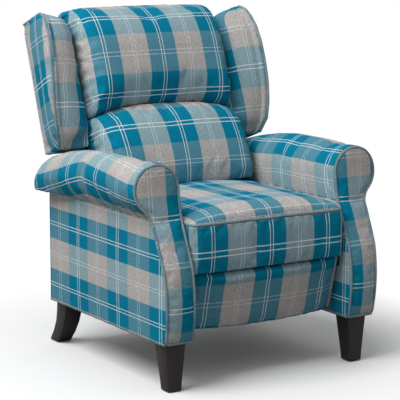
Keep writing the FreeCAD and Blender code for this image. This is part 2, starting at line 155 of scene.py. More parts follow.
def dome(t: float) -> float:
    """Quarter ellipse: upright at 0 and level from 1 on."""
    t = min(max(t, 0.0), 1.0)
    return math.sqrt(1.0 - (1.0 - t) ** 2)


def arc(a: Pair, b: Pair, c: Pair, steps: int) -> list[Pair]:
    """Points on the arc from a through b to c.

    Args:
        a: first point.
        b: a point on the way.
        c: last point.
        steps: number of equal steps.

    Returns:
        The steps + 1 points.
    """
    d = 2 * (a[0] * (b[1] - c[1]) + b[0] * (c[1] - a[1]) + c[0] * (a[1] - b[1]))
    aa, bb, cc = (p[0] ** 2 + p[1] ** 2 for p in (a, b, c))
    ux = (aa * (b[1] - c[1]) + bb * (c[1] - a[1]) + cc * (a[1] - b[1])) / d
    uy = (aa * (c[0] - b[0]) + bb * (a[0] - c[0]) + cc * (b[0] - a[0])) / d
    r = math.dist(a, (ux, uy))
    start, mid, end = (math.atan2(p[1] - uy, p[0] - ux) for p in (a, b, c))
    turn = (end - start) % math.tau
    if (mid - start) % math.tau > turn:
        turn -= math.tau
    return [(ux + r * math.cos(start + turn * i / steps), uy + r * math.sin(start + turn * i / steps))
            for i in range(steps + 1)]


def table(at: float, rows: tuple[Pair, ...]) -> float:
    """Value at a place in a table of places and values."""
    return float(np.interp(at, [row[0] for row in rows], [row[1] for row in rows]))


def front_line() -> np.ndarray:
    """Side view of the arms' front as rows of y and z, from the bottom up."""
    p = FRONT_LINE
    points = arc(p[0], p[1], p[2], 24) + arc(p[2], p[3], p[4], 16)[1:] + arc(p[4], p[5], p[6], 16)[1:]
    return np.array(points)


LINE = front_line()


def front_y(z: float) -> float:
    """Y of the arms' front face at a height."""
    return float(np.interp(z, LINE[:, 1], LINE[:, 0]))


def ridge_z(y: float) -> float:
    """Height of the top of an arm roll."""
    return table(y, ROLL_RIDGE)


def ripple(place: Vector, size: float, seed: float) -> float:
    """Smooth noise between about -1 and 1, the same in every run.

    Args:
        place: where, in metres.
        size: width of a swell in millimetres.
        seed: separates one use from another.

    Returns:
        The noise.
    """
    return noise.noise(place / (size * MM) + Vector((seed, 2.3 * seed, -seed)))


@dataclass(frozen=True)
class Bands:
    """How the cloth's bands lie on a piece, in millimetres.

    A teal band starts at each shift, and teal and grey bands of equal width follow by turns. The
    warp runs up the piece, or along it where the cloth is turned.
    """

    across: float = 95.0
    along: float = 120.0
    start_across: float = -47.5
    start_along: float = 0.0
    turned: bool = False

    def uv(self, s: float, t: float) -> Pair:
        """Counts bands across the warp and across the weft at a place on the cloth."""
        first, second = (s - self.start_across) / self.across, (t - self.start_along) / self.along
        return (second, first) if self.turned else (first, second)


FACING_BANDS = {Side.LEFT: Bands(98.0, 120.0, 206.0, 413.0), Side.RIGHT: Bands(85.0, 120.0, 212.0, 413.0)}
# Where a teal row starts on an arm roll, by y, and the count of bands along the roll, by y.
ROLL_ROWS = {Side.LEFT: ((60.0, 20.0), (150.0, 27.0), (340.0, 44.5), (352.0, 43.0), (450.0, 22.0), (600.0, 0.0)),
             Side.RIGHT: ((60.0, 16.5), (350.0, 16.5), (450.0, 9.0), (600.0, -22.0))}
ROLL_COLUMNS = {Side.LEFT: ((-56.0, -2.0), (59.0, -1.0), (185.0, 0.0), (309.0, 1.0), (361.0, 2.0), (477.0, 3.0),
                            (567.0, 4.0), (680.0, 5.0), (795.0, 6.0)),
                Side.RIGHT: ((10.0, -2.0), (122.0, -1.0), (246.0, 0.0), (353.0, 1.0), (455.0, 2.0), (570.0, 3.0),
                             (685.0, 4.0), (800.0, 5.0))}
# Height at which a teal row starts inside a wing, and how far the teal column reaches from its root, by height.
WING_ROWS = {Side.LEFT: 294.0, Side.RIGHT: 371.0}
WING_COLUMNS = {Side.LEFT: ((255.0, 60.0), (311.0, 46.0), (367.0, 46.0), (423.0, 50.0), (497.0, 32.0), (560.0, 22.0),
                            (650.0, 15.0)),
                Side.RIGHT: ((250.0, 52.0), (650.0, 37.0))}


def new_piece(name: str, bm: bmesh.types.BMesh) -> bpy.types.Object:
    """Makes an object in the scene from a finished bmesh, with smooth shading."""
    mesh = bpy.data.meshes.new(name)
    bm.to_mesh(mesh)
    bm.free()
    mesh.shade_smooth()
    piece = bpy.data.objects.new(name, mesh)
    bpy.context.scene.collection.objects.link(piece)
    return piece


def outward(bm: bmesh.types.BMesh) -> None:
    """Turns every face of a closed form outward."""
    bmesh.ops.recalc_face_normals(bm, faces=bm.faces)


def sided(bm: bmesh.types.BMesh, side: Side) -> bmesh.types.BMesh:
    """Mirrors a right-hand form for the left side, and turns its faces outward."""
    if side is Side.LEFT:
        bmesh.ops.scale(bm, verts=bm.verts, vec=(-1.0, 1.0, 1.0))
    outward(bm)
    return bm


def hold(bm: bmesh.types.BMesh, verts: Iterable[bmesh.types.BMVert]) -> None:
    """Marks where a cover is sewn or tacked down, as the weights of the group "held"."""
    bm.verts.index_update()
    chosen = [v.index for v in verts]
    layer = bm.verts.layers.deform.verify()
    bm.verts.ensure_lookup_table()
    for i in chosen:
        bm.verts[i][layer][0] = 1.0


def hold_boundary(bm: bmesh.types.BMesh) -> None:
    """Marks the open edge of a sheet as sewn down."""
    hold(bm, [v for v in bm.verts if v.is_boundary])


def grid(columns: int, rows: int, place: Place, uv: Callable[[float, float, float], Pair],
         held: Callable[[float, float], bool] | None = None) -> bmesh.types.BMesh:
    """Sheet of quads, each vertex placed by its share across and up.

    Args:
        columns: quads across.
        rows: quads up.
        place: place in metres for shares p and q.
        uv: cloth coordinates for shares p and q of a corner and the share across of its face's middle.
        held: whether the cover is sewn down at shares p and q.

    Returns:
        The bmesh, with a "tartan" UV layer.
    """
    bm = bmesh.new()
    bmesh.ops.create_grid(bm, x_segments=columns, y_segments=rows, size=0.5)
    layer = bm.loops.layers.uv.new("tartan")
    share = {v: (v.co.x + 0.5, v.co.y + 0.5) for v in bm.verts}
    for face in bm.faces:
        middle = face.calc_center_median().x + 0.5
        for loop in face.loops:
            loop[layer].uv = uv(*share[loop.vert], middle)
    for v, (p, q) in share.items():
        v.co = place(p, q)
    if held:
        hold(bm, [v for v, (p, q) in share.items() if held(p, q)])
    return bm


def box_form(cuts: tuple[int, int, int]) -> bmesh.types.BMesh:
    """Cube from -1 to 1 with its own number of cuts along each axis."""
    bm = bmesh.new()
    bmesh.ops.create_cube(bm, size=2.0)
    for axis in range(3):
        edges = [e for e in bm.edges if abs((e.verts[0].co - e.verts[1].co)[axis]) > 1e-6]
        bmesh.ops.subdivide_edges(bm, edges=edges, cuts=cuts[axis], use_grid_fill=True)
    return bm


def shaped_box(cuts: tuple[int, int, int], place: Callable[[float, float, float], Vector],
               uv: Callable[[Vector, Vector], Pair], free: int | None = None) -> bmesh.types.BMesh:
    """Closed form from a cut cube.

    Args:
        cuts: cuts along each axis.
        place: place in metres for cube coordinates a, b and c.
        uv: cloth coordinates for a cube corner and the outward axis of its face.
        free: axis whose far face and sides aren't tacked down, for a padded piece.

    Returns:
        The bmesh, with a "tartan" UV layer.
    """
    bm = box_form(cuts)
    layer = bm.loops.layers.uv.new("tartan")
    cube = {v: v.co.copy() for v in bm.verts}
    bm.normal_update()
    for face in bm.faces:
        n = face.normal
        main = max(range(3), key=lambda k: abs(n[k]))
        axis = Vector((0, 0, 0))
        axis[main] = math.copysign(1.0, n[main])
        for loop in face.loops:
            loop[layer].uv = uv(cube[loop.vert], axis)
    for v, c in cube.items():
        v.co = place(*c)
    if free is not None:
        hold(bm, [v for v, c in cube.items() if c[free] < 0.0 or sum(abs(k) > 0.999 for k in c) > 1])
    outward(bm)
    return bm


def sweep(path: list[Vector], radius: float, closed: bool, sides: int = 10) -> bmesh.types.BMesh:
    """Covered cord along a path, its cloth cut at 45 degrees to the threads.

    Args:
        path: places in metres.
        radius: radius in millimetres.
        closed: whether the last place joins the first.
        sides: corners of its section.

    Returns:
        The bmesh, with a "tartan" UV layer.
    """
    count = len(path)
    tangents = []
    for i in range(count):
        before = path[i - 1] if i or closed else path[0]
        after = path[(i + 1) % count] if i + 1 < count or closed else path[-1]
        tangents.append((after - before).normalized())
    normal = tangents[0].orthogonal().normalized()
    bm = bmesh.new()
    layer = bm.loops.layers.uv.new("tartan")
    rings = []
    length = 0.0
    share = {}
    for i in range(count):
        if i:
            turn = tangents[i - 1].rotation_difference(tangents[i])
            normal = turn @ normal
            length += (path[i] - path[i - 1]).length / MM
        side = tangents[i].cross(normal)
        ring = []
        for k in range(sides):
            angle = math.tau * k / sides
            v = bm.verts.new(path[i] + (normal * math.cos(angle) + side * math.sin(angle)) * radius * MM)
            share[v] = (length, angle * radius)
            ring.append(v)
        rings.append(ring)
    pairs = list(zip(rings, rings[1:]))
    if closed:
        pairs.append((rings[-1], rings[0]))
    for low, high in pairs:
        for k in range(sides):
            face = bm.faces.new((low[k], low[(k + 1) % sides], high[(k + 1) % sides], high[k]))
            for loop in face.loops:
                s, a = share[loop.vert]
                loop[layer].uv = ((s + a) / 95.0, (s - a) / 120.0)
    if not closed:
        for ring in (rings[0], rings[-1]):
            bm.faces.new(ring)
    outward(bm)
    return bm


def close(bm: bmesh.types.BMesh, rim: list[bmesh.types.BMEdge]) -> None:
    """Closes an open edge with triangles, which subdivide far faster than one large face."""
    filled = bmesh.ops.holes_fill(bm, edges=rim, sides=0)["faces"]
    bmesh.ops.triangulate(bm, faces=filled)


def add_skirt(bm: bmesh.types.BMesh, shift: Vector) -> None:
    """Turns the edge of a sheet back by a shift and closes the back."""
    edges = [e for e in bm.edges if e.is_boundary]
    made = bmesh.ops.extrude_edge_only(bm, edges=edges)["geom"]
    turned = [g for g in made if isinstance(g, bmesh.types.BMVert)]
    bmesh.ops.translate(bm, verts=turned, vec=shift)
    rim = [g for g in made if isinstance(g, bmesh.types.BMEdge) and g.is_boundary]
    close(bm, rim)
    hold(bm, turned)
    outward(bm)


@dataclass(frozen=True)
class Stuffing:
    """How a pad is filled and its cover cut.

    The cover is cut a little larger than the pad, so that it puckers along its seams.
    """

    fill: float                # 0 slack to 1 tight
    pressure: float            # push of the filling on the cover
    slack: float               # share by which the cover is cut too large
    reach: float               # furthest that the cover may move, in millimetres
    frames: int = 20

    def settle(self, piece: bpy.types.Object) -> None:
        """Lets the cover settle on its filling by a cloth simulation, and keeps the result.

        Args:
            piece: the pad, whose group "held" is sewn down.
        """
        mesh = piece.data
        count = len(mesh.vertices)
        start = np.empty(count * 3)
        mesh.vertices.foreach_get("co", start)
        piece.vertex_groups.new(name="held")
        cloth = piece.modifiers.new("settling", "CLOTH")
        settings = cloth.settings
        settings.quality = 6
        settings.mass = 0.25
        settings.tension_stiffness = 20.0
        settings.compression_stiffness = 20.0
        settings.shear_stiffness = 8.0
        settings.bending_stiffness = 1.2
        settings.use_pressure = True
        settings.uniform_pressure_force = self.pressure
        settings.shrink_min = -self.slack
        settings.vertex_group_mass = "held"
        settings.effector_weights.gravity = 0.0
        cloth.point_cache.frame_start = 1
        cloth.point_cache.frame_end = self.frames
        for frame in range(1, self.frames + 1):
            bpy.context.scene.frame_set(frame)
        settled = np.empty(count * 3)
        graph = bpy.context.evaluated_depsgraph_get()
        piece.evaluated_get(graph).data.vertices.foreach_get("co", settled)
        piece.modifiers.remove(cloth)
        bpy.context.scene.frame_set(1)
        move = (settled - start).reshape(-1, 3)
        length = np.linalg.norm(move, axis=1)
        cap = self.reach * MM
        LOG.info("%s settles by %.1f mm at most, %.1f mm on average", piece.name, length.max() / MM,
                 length.mean() / MM)
        move *= (cap * np.tanh(length / cap) / np.maximum(length, 1e-9))[:, None]
        mesh.vertices.foreach_set("co", start + move.ravel())
        mesh.update()


def refine(piece: bpy.types.Object, levels: int = 1) -> None:
    """Adds a live subdivision surface."""
    modifier = piece.modifiers.new("smooth", "SUBSURF")
    modifier.levels = levels
    modifier.render_levels = levels


def linear(code: str) -> tuple[float, float, float, float]:
    """Turns an sRGB hex colour such as "007C9E" into linear colour with alpha."""
    values = [int(code[i:i + 2], 16) / 255 for i in (0, 2, 4)]
    light = [v / 12.92 if v <= 0.04045 else ((v + 0.055) / 1.055) ** 2.4 for v in values]
    return light[0], light[1], light[2], 1.0


def add_node(material: bpy.types.Material, kind: str, sockets: dict | None = None,
             **settings: object) -> bpy.types.Node:
    """Adds a node with its settings, and sets or links its inputs.

    Args:
        material: the material to add to.
        kind: the node's type name.
        sockets: input name or number, to a value or to an output socket.
        settings: attributes of the node.

    Returns:
        The node.
    """
    tree = material.node_tree
    node = tree.nodes.new(kind)
    for key, value in settings.items():
        setattr(node, key, value)
    for key, value in (sockets or {}).items():
        if isinstance(value, bpy.types.NodeSocket):
            tree.links.new(value, node.inputs[key])
        else:
            node.inputs[key].default_value = value
    return node


def blank(name: str) -> tuple[bpy.types.Material, bpy.types.Node]:
    """Makes a material that holds only its output, and returns both."""
    material = bpy.data.materials.new(name)
    material.use_nodes = True
    material.node_tree.nodes.clear()
    return material, material.node_tree.nodes.new("ShaderNodeOutputMaterial")


@dataclass(frozen=True)
class TartanCloth:
    """Twill-woven tartan of wool-like yarn: soft, dull, with bands of teal and heather grey.

    Colours are named warp on weft. The warp floats show more, so the two mixed bands differ.
    """

    teal_on_teal: str = "007B9A"
    teal_on_grey: str = "528CA0"
    grey_on_teal: str = "8DA8B0"
    grey_on_grey: str = "B6B2AF"
    line: str = "EFF3F3"
    line_gap: float = 0.05        # from the middle of a band to each white line, in bands
    line_half: float = 0.0105     # half width of a white line, in bands
    lines_on_teal: float = 0.8   # how clearly the white lines show in a teal band
    lines_on_grey: float = 0.42
    heather: float = 0.34         # how far the heathered yarn strays from its colour
    band_mm: float = 105.0
    slub_mm: float = 4.0          # length of a lighter or darker place in the yarn
    thread_mm: float = 1.4        # drawn coarser than the real yarn of about 0.6 mm, so that it shows

    def math(self, m: bpy.types.Material, operation: str, a: object, b: object = 0.0) -> bpy.types.NodeSocket:
        """Result of one arithmetic step."""
        return add_node(m, "ShaderNodeMath", {0: a, 1: b}, operation=operation).outputs[0]

    def blend(self, m: bpy.types.Material, share: object, low: object, high: object) -> bpy.types.NodeSocket:
        """Colour between two colours."""
        return add_node(m, "ShaderNodeMix", {"Factor": share, 6: low, 7: high}, data_type="RGBA").outputs[2]

    def remap(self, m: bpy.types.Material, value: object, low: float, high: float, to_low: float,
              to_high: float) -> bpy.types.NodeSocket:
        """Value moved from one range to another."""
        return add_node(m, "ShaderNodeMapRange", {"Value": value, "From Min": low, "From Max": high,
                                                  "To Min": to_low, "To Max": to_high}).outputs[0]

    def streaks(self, m: bpy.types.Material, uv: object, scale: tuple[float, float, float],
                detail: float) -> bpy.types.NodeSocket:
        """Noise drawn out along the threads."""
        drawn = add_node(m, "ShaderNodeMapping", {"Vector": uv, "Scale": scale}).outputs[0]
        return add_node(m, "ShaderNodeTexNoise", {"Vector": drawn, "Scale": 1.0, "Detail": detail,
                                                  "Roughness": 0.65}).outputs["Fac"]

    def band(self, m: bpy.types.Material,
             coordinate: object) -> tuple[bpy.types.NodeSocket, bpy.types.NodeSocket]:
        """Masks of the teal bands and of the pairs of white lines along one direction."""
        lifted = self.math(m, "ADD", coordinate, 100.0)
        teal = self.math(m, "LESS_THAN", self.math(m, "MODULO", lifted, 2.0), 1.0)
        off = self.math(m, "ABSOLUTE", self.math(m, "SUBTRACT", self.math(m, "FRACT", lifted), 0.5))
        from_line = self.math(m, "ABSOLUTE", self.math(m, "SUBTRACT", off, self.line_gap))
        clear = self.remap(m, teal, 0.0, 1.0, self.lines_on_grey, self.lines_on_teal)
        return teal, self.math(m, "MULTIPLY", self.math(m, "LESS_THAN", from_line, self.line_half), clear)

    def make(self, name: str) -> bpy.types.Material:
        """Builds the material.

        Args:
            name: its name.

        Returns:
            The material, which reads the UV layer "tartan" in bands.
        """
        m, output = blank(name)
        uv = add_node(m, "ShaderNodeUVMap", uv_map="tartan").outputs[0]
        threads = self.band_mm / self.thread_mm
        slubs = self.band_mm / self.slub_mm
        fray = add_node(m, "ShaderNodeTexNoise", {"Vector": uv, "Scale": threads * 0.7, "Detail": 2.0})
        centred = add_node(m, "ShaderNodeVectorMath", {0: fray.outputs["Color"], 1: (0.5, 0.5, 0.5)},
                           operation="SUBTRACT")
        shake = add_node(m, "ShaderNodeVectorMath", {0: centred.outputs[0], "Scale": 0.014}, operation="SCALE")
        place = add_node(m, "ShaderNodeVectorMath", {0: uv, 1: shake.outputs[0]}, operation="ADD").outputs[0]
        axes = add_node(m, "ShaderNodeSeparateXYZ", {0: place})
        warp, warp_line = self.band(m, axes.outputs[0])
        weft, weft_line = self.band(m, axes.outputs[1])

        on_teal = self.blend(m, weft, linear(self.teal_on_grey), linear(self.teal_on_teal))
        on_grey = self.blend(m, weft, linear(self.grey_on_grey), linear(self.grey_on_teal))
        colour = self.blend(m, warp, on_grey, on_teal)
        colour = self.blend(m, warp_line, colour, linear(self.line))
        colour = self.blend(m, self.math(m, "MULTIPLY", weft_line, 0.88), colour, linear(self.line))

        along_warp = self.streaks(m, uv, (slubs * 2.2, slubs * 0.45, 1.0), 3.0)
        along_weft = self.streaks(m, uv, (slubs * 0.45, slubs * 2.2, 1.0), 3.0)
        yarn = self.math(m, "ADD", along_warp, along_weft)
        grey_share = self.remap(m, self.math(m, "ADD", warp, weft), 0.0, 2.0, 1.0, 0.5)
        stray = self.math(m, "MULTIPLY", self.remap(m, yarn, 0.75, 1.25, -1.0, 1.0),
                          self.math(m, "MULTIPLY", grey_share, self.heather))
        twill = add_node(m, "ShaderNodeTexWave", {"Vector": uv, "Scale": threads * 0.16, "Distortion": 0.4,
                                                  "Detail": 1.0}, bands_direction="DIAGONAL")
        rib = self.remap(m, twill.outputs["Fac"], 0.0, 1.0, 0.95, 1.04)
        shade = self.math(m, "MULTIPLY", self.math(m, "ADD", stray, 1.0), rib)
        tinted = add_node(m, "ShaderNodeVectorMath", {0: colour, "Scale": shade}, operation="SCALE")

        bump = add_node(m, "ShaderNodeBump", {"Height": shade, "Strength": 0.35, "Distance": 0.0006})
        shader = add_node(m, "ShaderNodeBsdfPrincipled",
                          {"Base Color": tinted.outputs[0], "Roughness": 0.95, "Specular IOR Level": 0.1,
                           "Normal": bump.outputs[0]})
        m.node_tree.links.new(shader.outputs[0], output.inputs[0])
        return m


@dataclass(frozen=True)
class StainedWood:
    """Close-grained hardwood under a dark espresso stain and satin lacquer."""

    dark: str = "1E1A1B"
    light: str = "3A3230"
    roughness: float = 0.38
    grain_mm: float = 2.5
    coat: float = 0.25

    def make(self, name: str) -> bpy.types.Material:
        """Builds the material from its object's own coordinates."""
        m, output = blank(name)
        coords = add_node(m, "ShaderNodeTexCoord").outputs["Object"]
        stretched = add_node(m, "ShaderNodeMapping", {"Vector": coords, "Scale": (1.0, 1.0, 0.06)})
        grain = add_node(m, "ShaderNodeTexNoise", {"Vector": stretched.outputs[0], "Scale": 1000 / self.grain_mm,
                                                   "Detail": 4.0, "Roughness": 0.6})
        ramp = add_node(m, "ShaderNodeMapRange", {"Value": grain.outputs["Fac"], "From Min": 0.35, "From Max": 0.7})
        colour = add_node(m, "ShaderNodeMix", {"Factor": ramp.outputs[0], 6: linear(self.dark),
                                               7: linear(self.light)}, data_type="RGBA")
        bump = add_node(m, "ShaderNodeBump", {"Height": grain.outputs["Fac"], "Strength": 0.12,
                                              "Distance": 0.0003})
        shader = add_node(m, "ShaderNodeBsdfPrincipled",
                          {"Base Color": colour.outputs[2], "Roughness": self.roughness,
                           "Coat Weight": self.coat, "Coat Roughness": 0.25, "Normal": bump.outputs[0]})
        m.node_tree.links.new(shader.outputs[0], output.inputs[0])
        return m


@dataclass(frozen=True)
class CoatedSteel:
    """Pressed steel under black powder coat: fine orange-peel skin, slightly dusty."""

    colour: str = "1B1C1E"
    dust: str = "2C2D2F"
    roughness: float = 0.45
    peel_mm: float = 1.2

    def make(self, name: str) -> bpy.types.Material:
        """Builds the material from its object's own coordinates."""
        m, output = blank(name)
        coords = add_node(m, "ShaderNodeTexCoord").outputs["Object"]
        peel = add_node(m, "ShaderNodeTexNoise", {"Vector": coords, "Scale": 1000 / self.peel_mm, "Detail": 2.0})
        cloud = add_node(m, "ShaderNodeTexNoise", {"Vector": coords, "Scale": 28.0, "Detail": 4.0})
        colour = add_node(m, "ShaderNodeMix", {"Factor": cloud.outputs["Fac"], 6: linear(self.colour),
                                               7: linear(self.dust)}, data_type="RGBA")
        bump = add_node(m, "ShaderNodeBump", {"Height": peel.outputs["Fac"], "Strength": 0.2, "Distance": 0.0002})
        shader = add_node(m, "ShaderNodeBsdfPrincipled",
                          {"Base Color": colour.outputs[2], "Roughness": self.roughness, "Normal": bump.outputs[0]})
        m.node_tree.links.new(shader.outputs[0], output.inputs[0])
        return m


@dataclass(frozen=True)
class WovenWebbing:
    """Black elastic webbing, ribbed by its rubber threads."""

    colour: str = "1A1A1C"
    rib: str = "303034"
    rib_mm: float = 3.0

    def make(self, name: str) -> bpy.types.Material:
        """Builds the material from its object's own coordinates."""
        m, output = blank(name)
        coords = add_node(m, "ShaderNodeTexCoord").outputs["Object"]
        ribs = add_node(m, "ShaderNodeTexWave", {"Vector": coords, "Scale": 1000 / self.rib_mm / math.tau,
                                                 "Distortion": 0.6})
        colour = add_node(m, "ShaderNodeMix", {"Factor": ribs.outputs["Fac"], 6: linear(self.colour),
                                               7: linear(self.rib)}, data_type="RGBA")
        bump = add_node(m, "ShaderNodeBump", {"Height": ribs.outputs["Fac"], "Strength": 0.5, "Distance": 0.0005})
        shader = add_node(m, "ShaderNodeBsdfPrincipled",
                          {"Base Color": colour.outputs[2], "Roughness": 0.85, "Normal": bump.outputs[0]})
        m.node_tree.links.new(shader.outputs[0], output.inputs[0])
        return m


class Finish(Enum):
    """The chair's finishes, by the record's material slots."""

    CLOTH = "tartan_cloth"
    CORD = "piping_cloth"
    TIMBER = "frame_timber"
    LEG = "dark_leg_wood"
    STEEL = "mechanism_steel"
    WEBBING = "webbing"
    GLIDE = "glide_plastic"


class Workshop:
    """Holds the finishes and fits finished pieces to the frame."""

    def __init__(self, frame: dict) -> None:
        """Makes one material for each finish.

        Args:
            frame: the loaded frame.
        """
        self.frame = frame
        bias = TartanCloth("648C99", "76949E", "84989E", "8F9698", "B4BEC1", line_half=0.02,
                           lines_on_teal=0.35, lines_on_grey=0.3, heather=0.2)
        self.materials = {
            Finish.CLOTH: TartanCloth().make("tartan twill"),
            Finish.CORD: bias.make("tartan twill on the bias"),
            Finish.TIMBER: StainedWood("A98558", "D0AE7F", 0.7, 4.0, 0.0).make("sawn pine"),
            Finish.LEG: StainedWood().make("espresso stained rubberwood"),
            Finish.STEEL: CoatedSteel().make("black powder coated steel"),
            Finish.WEBBING: WovenWebbing().make("elastic webbing"),
            Finish.GLIDE: CoatedSteel("101011", "19191A", 0.55, 0.8).make("moulded black nylon"),
        }

    def dress_nodes(self) -> None:
        """Gives every node of the frame its finish."""
        by_slot = {finish.value: finish for finish in Finish}
        slots = {row["node"]: row["material_slot"] for row in self.frame["record"]["subparts"]}
        for name, node in self.frame["nodes"].items():
            material = self.materials[by_slot[slots[name]]]
            if not node.material_slots:
                node.data.materials.append(material)
            for slot in node.material_slots:
                slot.material = material

    def fit(self, piece: bpy.types.Object, body: str, finish: Finish, nodes: Iterable[str] = (),
            stuffing: Stuffing | None = None) -> bpy.types.Object:
        """Dresses a piece and ties it to the frame.

        Args:
            piece: the finished piece.
            body: the body that it moves with.
            finish: its finish.
            nodes: the nodes that it stands for.
            stuffing: how it is stuffed, for a padded piece.

        Returns:
            The piece.
        """
        piece.data.materials.clear()
        piece.data.materials.append(self.materials[finish])
        if stuffing:
            stuffing.settle(piece)
            refine(piece)
        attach(piece, body)
        if nodes:
            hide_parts(*nodes)
        LOG.info("%s: %d vertices, rides on %s", piece.name, len(piece.data.vertices), body)
        return piece

    def fit_pair(self, make: Callable[[Side], bpy.types.Object], stem: str, body: str, finish: Finish,
                 stuffing: Stuffing | None = None) -> None:
        """Makes a piece for each side, and fits each for the node of its own side."""
        for side in Side:
            self.fit(make(side), body, finish, (f"{side.value}_{stem}",), stuffing)


@dataclass
class Arms:
    """Scroll arms: facing, roll, side panels and piping."""

    shop: Workshop
    pad: float = 6.0
    corner: float = 16.0
    side_bands: Bands = Bands(115.5, 91.7, 401.0, 328.0, turned=True)

    def outline(self, inset: float) -> list[Pair]:
        """Front outline of the arm from the lower inner corner, up, over and down outside.

        Args:
            inset: how far inside the true outline.

        Returns:
            Points of x and z, open at the bottom.
        """
        r = ROLL_R - inset
        low = math.radians(-50)
        neck = (ROLL_X + r * math.cos(low), ROLL_Z + r * math.sin(low))
        inner = ARM_INNER + inset
        bottom = BODY_BOTTOM + inset
        points = [(inner, bottom + (ROLL_Z - bottom) * i / 40) for i in range(40)]
        points += arc((inner, ROLL_Z), (ROLL_X, ROLL_Z + r), (ROLL_X + r, ROLL_Z), 36)
        points += arc((ROLL_X + r, ROLL_Z), (ROLL_X + r * math.cos(low / 2), ROLL_Z + r * math.sin(low / 2)),
                      neck, 12)[1:]
        points += arc(neck, (359.0 - inset, 470.0), (356.0 - inset, 440.0), 8)[1:]
        r = self.corner - inset
        x, z = 348.0 - inset, bottom + r
        points += [(356.0 - inset + (x - 356.0 + inset) * i / 26, 440.0 + (z - 440.0) * i / 26)
                   for i in range(1, 27)]
        turn = r * (1 - math.sqrt(0.5))
        points += arc((x, z), (x - turn, bottom + turn), (x - r, bottom), 8)[1:]
        return points

    def limits(self, inset: float) -> tuple[np.ndarray, np.ndarray, np.ndarray, np.ndarray]:
        """Inner and outer edge of the outline as x at rising z."""
        points = self.outline(inset)
        top = max(range(len(points)), key=lambda i: points[i][1])
        inner = np.array(points[:top + 1])
        outer = np.array(points[top:][::-1])
        return inner[:, 1], inner[:, 0], outer[:, 1], outer[:, 0]

    def facing(self, side: Side) -> bpy.types.Object:
        """Padded front of the arm inside its piping."""
        iz, ix, oz, ox = self.limits(PIPING_R + 1.0)
        top = float(oz[-1])
        bottom = float(oz[0])
        knee = ROLL_Z

        def height(q: float) -> float:
            if q < 0.72:
                return bottom + (knee - bottom) * q / 0.72
            return knee + (top - knee) * math.sin((q - 0.72) / 0.28 * math.pi / 2)

        def across(p: float, z: float) -> Pair:
            a = float(np.interp(z, iz, ix))
            b = float(np.interp(z, oz, ox))
            x = a + (b - a) * p
            return x, min(x - a, b - x, z - bottom, (top - z) * 1.5)

        def place(p: float, q: float) -> Vector:
            z = height(q)
            x, edge = across(p, z)
            puff = self.pad * dome(edge / 30.0)
            puff += 1.2 * ripple(spot(x, 0, z), 60.0, 3.0) * smooth(edge / 25.0)
            return spot(x, front_y(z) - puff + 2.0, z)

        def uv(p: float, q: float, middle: float) -> Pair:
            z = height(q)
            return FACING_BANDS[side].uv(across(p, z)[0], z)

        bm = grid(22, 90, place, uv)
        bmesh.ops.remove_doubles(bm, verts=bm.verts, dist=0.0002)
        hold_boundary(bm)
        add_skirt(bm, Vector((0, 14.0 * MM, 0)))
        return new_piece(f"{side.value}_arm_facing_soft", sided(bm, side))

    def piping(self, side: Side) -> bpy.types.Object:
        """Covered cord right round the facing."""
        points = self.outline(PIPING_R)
        first, last = points[0], points[-1]
        points += [(last[0] + (first[0] - last[0]) * i / 10, last[1]) for i in range(1, 10)]
        path = [spot(x, front_y(z) + 1.0, z) for x, z in points]
        return new_piece(f"{side.value}_facing_piping_soft", sided(sweep(path, PIPING_R, True), side))

    def section(self, y: float) -> np.ndarray:
        """Section of the roll at y, from its outer seam over the top to the inner seam."""
        ridge = ridge_z(y)
        centre = ridge - ROLL_R
        drop = min(0.8 * ROLL_R, centre - ROLL_SEAM - 4.0)
        low = math.asin(drop / ROLL_R)
        neck = (ROLL_X + ROLL_R * math.cos(low), centre - drop)
        points = [(ARM_OUTER + 1.0, ROLL_SEAM), (ARM_OUTER + 2.5, ROLL_SEAM + 3.0)]
        points += arc(neck, (ROLL_X + ROLL_R * math.cos(low / 2), centre - ROLL_R * math.sin(low / 2)),
                      (ROLL_X + ROLL_R, centre), 12)
        points += arc((ROLL_X + ROLL_R, centre), (ROLL_X, ridge), (ARM_INNER, centre), 40)[1:]
        points += [(ARM_INNER, centre + (ROLL_SEAM - centre) * i / 8) for i in range(1, 9)]
        if y > 606.0:
            share = 0.72 + 0.28 * dome((ARM_REAR - y) / 32.0 * 0.92 + 0.08)
            points = [(ROLL_X + (x - ROLL_X) * (0.9 + 0.1 * share), ROLL_SEAM + (z - ROLL_SEAM) * share)
                      for x, z in points]
        return np.array(points)

    def roll(self, side: Side) -> bpy.types.Object:
        """Padded scroll on top of the arm, with a domed rear end."""
        around = 60
        shares = np.linspace(0.0, 1.0, around + 1)
        body = 0.9

        @lru_cache(maxsize=None)
        def at(y: float) -> tuple[np.ndarray, np.ndarray, float]:
            points = self.section(y)
            length = np.concatenate(([0.0], np.cumsum(np.hypot(*np.diff(points, axis=0).T))))
            total = float(length[-1])
            return (np.interp(shares * total, length, points[:, 0]),
                    np.interp(shares * total, length, points[:, 1]), total)

        def along(p: float) -> float:
            return min(p / body, 1.0)

        def nominal(p: float) -> float:
            return round(30.0 + (ARM_REAR - 30.0) * along(p), 2)

